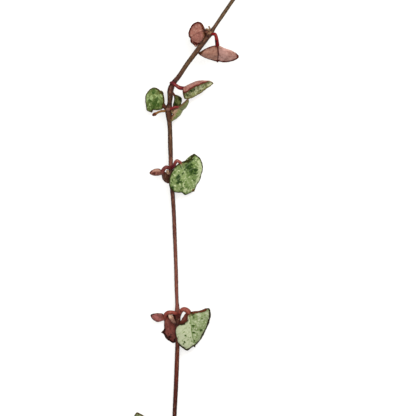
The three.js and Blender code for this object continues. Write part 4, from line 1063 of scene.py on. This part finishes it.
# Small corky tubers that taper to a neck in the stem, the dry stalk of a spent flower with the knob
# that its bud left, and the stump of an old side shoot with a broken second prong
dryGrowth = {
    "tuber_d": dict(
        slot="bead", replaced="bead_d", node="d", seed=21, rows=60, sides=36,
        lines=[[(-1.75, -1.5, 0.9), (-1.6, -1.9, 0.8), (-1.4, -2.6, 0.6), (-0.5, -3.2, 0.2)]],
        profile=[(0, 0.5), (0.2, 0.68), (0.5, 0.62), (1, 0.4)],
        stops=[(0, (220, 190, 156)), (0.5, (196, 160, 130)), (0.8, (120, 84, 70)), (1, (90, 56, 48))],
        crease=(104, 70, 62),
    ),
    "tuber_e": dict(
        slot="bead", replaced="bead_e", node="e", seed=22, rows=60, sides=36,
        lines=[[(-3.6, -0.35, 1.3), (-3.2, -1, 1.2), (-2.55, -2.2, 1), (-1.9, -3.4, 0.7),
            (-0.8, -4.2, 0.2)]],
        profile=[(0, 0.7), (0.14, 1.1), (0.3, 1.12), (0.44, 0.92), (0.6, 0.88), (0.8, 0.7), (1, 0.5)],
        stops=[(0, (250, 220, 196)), (0.3, (232, 190, 164)), (0.44, (162, 120, 104)),
            (0.7, (150, 110, 98)), (1, (84, 52, 46))],
        crease=(104, 70, 62),
    ),
    "spent_flower_stalk": dict(
        slot="dried_stalk", replaced="flower_stalk", node="c", seed=31, rows=90, sides=22,
        lines=[[(-0.6, -1, 0.1), (-2.2, -1.2, 0.5), (-3.6, -1.35, 0.7), (-4.9, -1.8, 0.4),
            (-5.9, -2.35, 0.2), (-6.6, -2.75, 0), (-7.1, -3, 0)]],
        profile=[(0, 0.7), (0.12, 0.58), (0.72, 0.5), (0.78, 0.58), (0.86, 0.82), (0.95, 0.78),
            (1, 0.56)],
        stops=[(0, (84, 46, 24)), (0.12, (140, 94, 44)), (0.7, (150, 102, 46)), (0.8, (108, 42, 0)),
            (1, (78, 24, 0))],
        crease=(84, 50, 22),
    ),
    "old_stump": dict(
        slot="bead", replaced="stump_a", node="a", seed=41, rows=30, sides=22,
        lines=[
            [(0.1, 0.5, 0.5), (-0.2, 1.4, 1.1), (-0.6, 2.2, 1.5)],
            [(0, 0.2, 0.5), (-0.9, 0.8, 0.9), (-1.9, 1.1, 1)],
        ],
        profile=[(0, 0.42), (0.7, 0.36), (1, 0.26)],
        stops=[(0, (120, 84, 62)), (0.5, (178, 144, 110)), (1, (150, 112, 84))],
        crease=(84, 50, 40),
    ),
}
for name, dry in dryGrowth.items():
    skins = [stalkSkin(dry, points, dry["seed"] + i) for i, points in enumerate(dry["lines"])]
    makePiece(name, skins, [dryFinish(name + "_skin", dry)], dry["replaced"])
    print("dry piece made:", name)

lighting = dict(
    world=0.45,
    worldColour=(1, 0.98, 0.93, 1),
    lampColour=(1, 0.97, 0.9),
    # Lamps: place, size and power
    lamps={
        "ceilingLamp": ((-150, 250, 1300), 1300, 15.5),
        "sideLamp": ((420, 620, 800), 380, 7),
    },
    floorColour=(0.36, 0.36, 0.36, 1),
    floorGlow=0.66,  # keeps the shadows on the surface faint
    floorHeight=-0.05,
    floorReach=40000,
)


# The pale surface that the strand lies on
def makeFloor():
    reach = lighting["floorReach"] * mm / 2
    corners = [(-reach, -reach), (reach, -reach), (reach, reach), (-reach, reach)]
    mesh = bpy.data.meshes.new("paleSurface")
    mesh.from_pydata([(x, y, lighting["floorHeight"] * mm) for x, y in corners], [], [(0, 1, 2, 3)])
    finish = Finish("palePaper", {
        "Base Color": lighting["floorColour"], "Roughness": 1.0, "Specular IOR Level": 0.0,
        "Emission Color": (1, 1, 1, 1), "Emission Strength": lighting["floorGlow"]})
    mesh.materials.append(finish.material)
    floor = bpy.data.objects.new("pale_surface", mesh)
    bpy.context.scene.collection.objects.link(floor)


# Pale surroundings, and large soft lamps that look at the strand's middle
def makeLight():
    world = bpy.data.worlds.new("paleRoom")
    world.use_nodes = True
    background = world.node_tree.nodes["Background"].inputs
    background["Color"].default_value = lighting["worldColour"]
    background["Strength"].default_value = lighting["world"]
    bpy.context.scene.world = world
    for name, (place, size, power) in lighting["lamps"].items():
        data = bpy.data.lights.new(name, "AREA")
        data.size = size * mm
        data.energy = power
        data.color = lighting["lampColour"]
        lamp = bpy.data.objects.new(name, data)
        x, y, z = place
        lamp.location = (x * mm, y * mm, z * mm)
        lamp.rotation_euler = (np.arctan2(np.hypot(x, y), z), 0, np.arctan2(x, -y))
        lamp.visible_camera = False
        bpy.context.scene.collection.objects.link(lamp)


# The picture is a square of the surface, seen from straight above
picture = dict(
    width=187.2,
    middle=(7.65, 10.8, 3),
    cameraHeight=2500,
    sensor=36,
)


# Camera over the middle, with the lens that shows the picture's width at the leaves' height
def makeCamera():
    x, y, z = picture["middle"]
    data = bpy.data.cameras.new("pictureCamera")
    data.sensor_width = picture["sensor"]
    data.lens = picture["sensor"] * (picture["cameraHeight"] - z) / picture["width"]
    data.clip_start, data.clip_end = 0.01, 100
    camera = bpy.data.objects.new("pictureCamera", data)
    camera.location = (x * mm, y * mm, picture["cameraHeight"] * mm)
    bpy.context.scene.collection.objects.link(camera)
    bpy.context.scene.camera = camera


makeFloor()
makeLight()
makeCamera()
bpy.context.scene.view_settings.view_transform = "Standard"
print("floor, light and camera made")
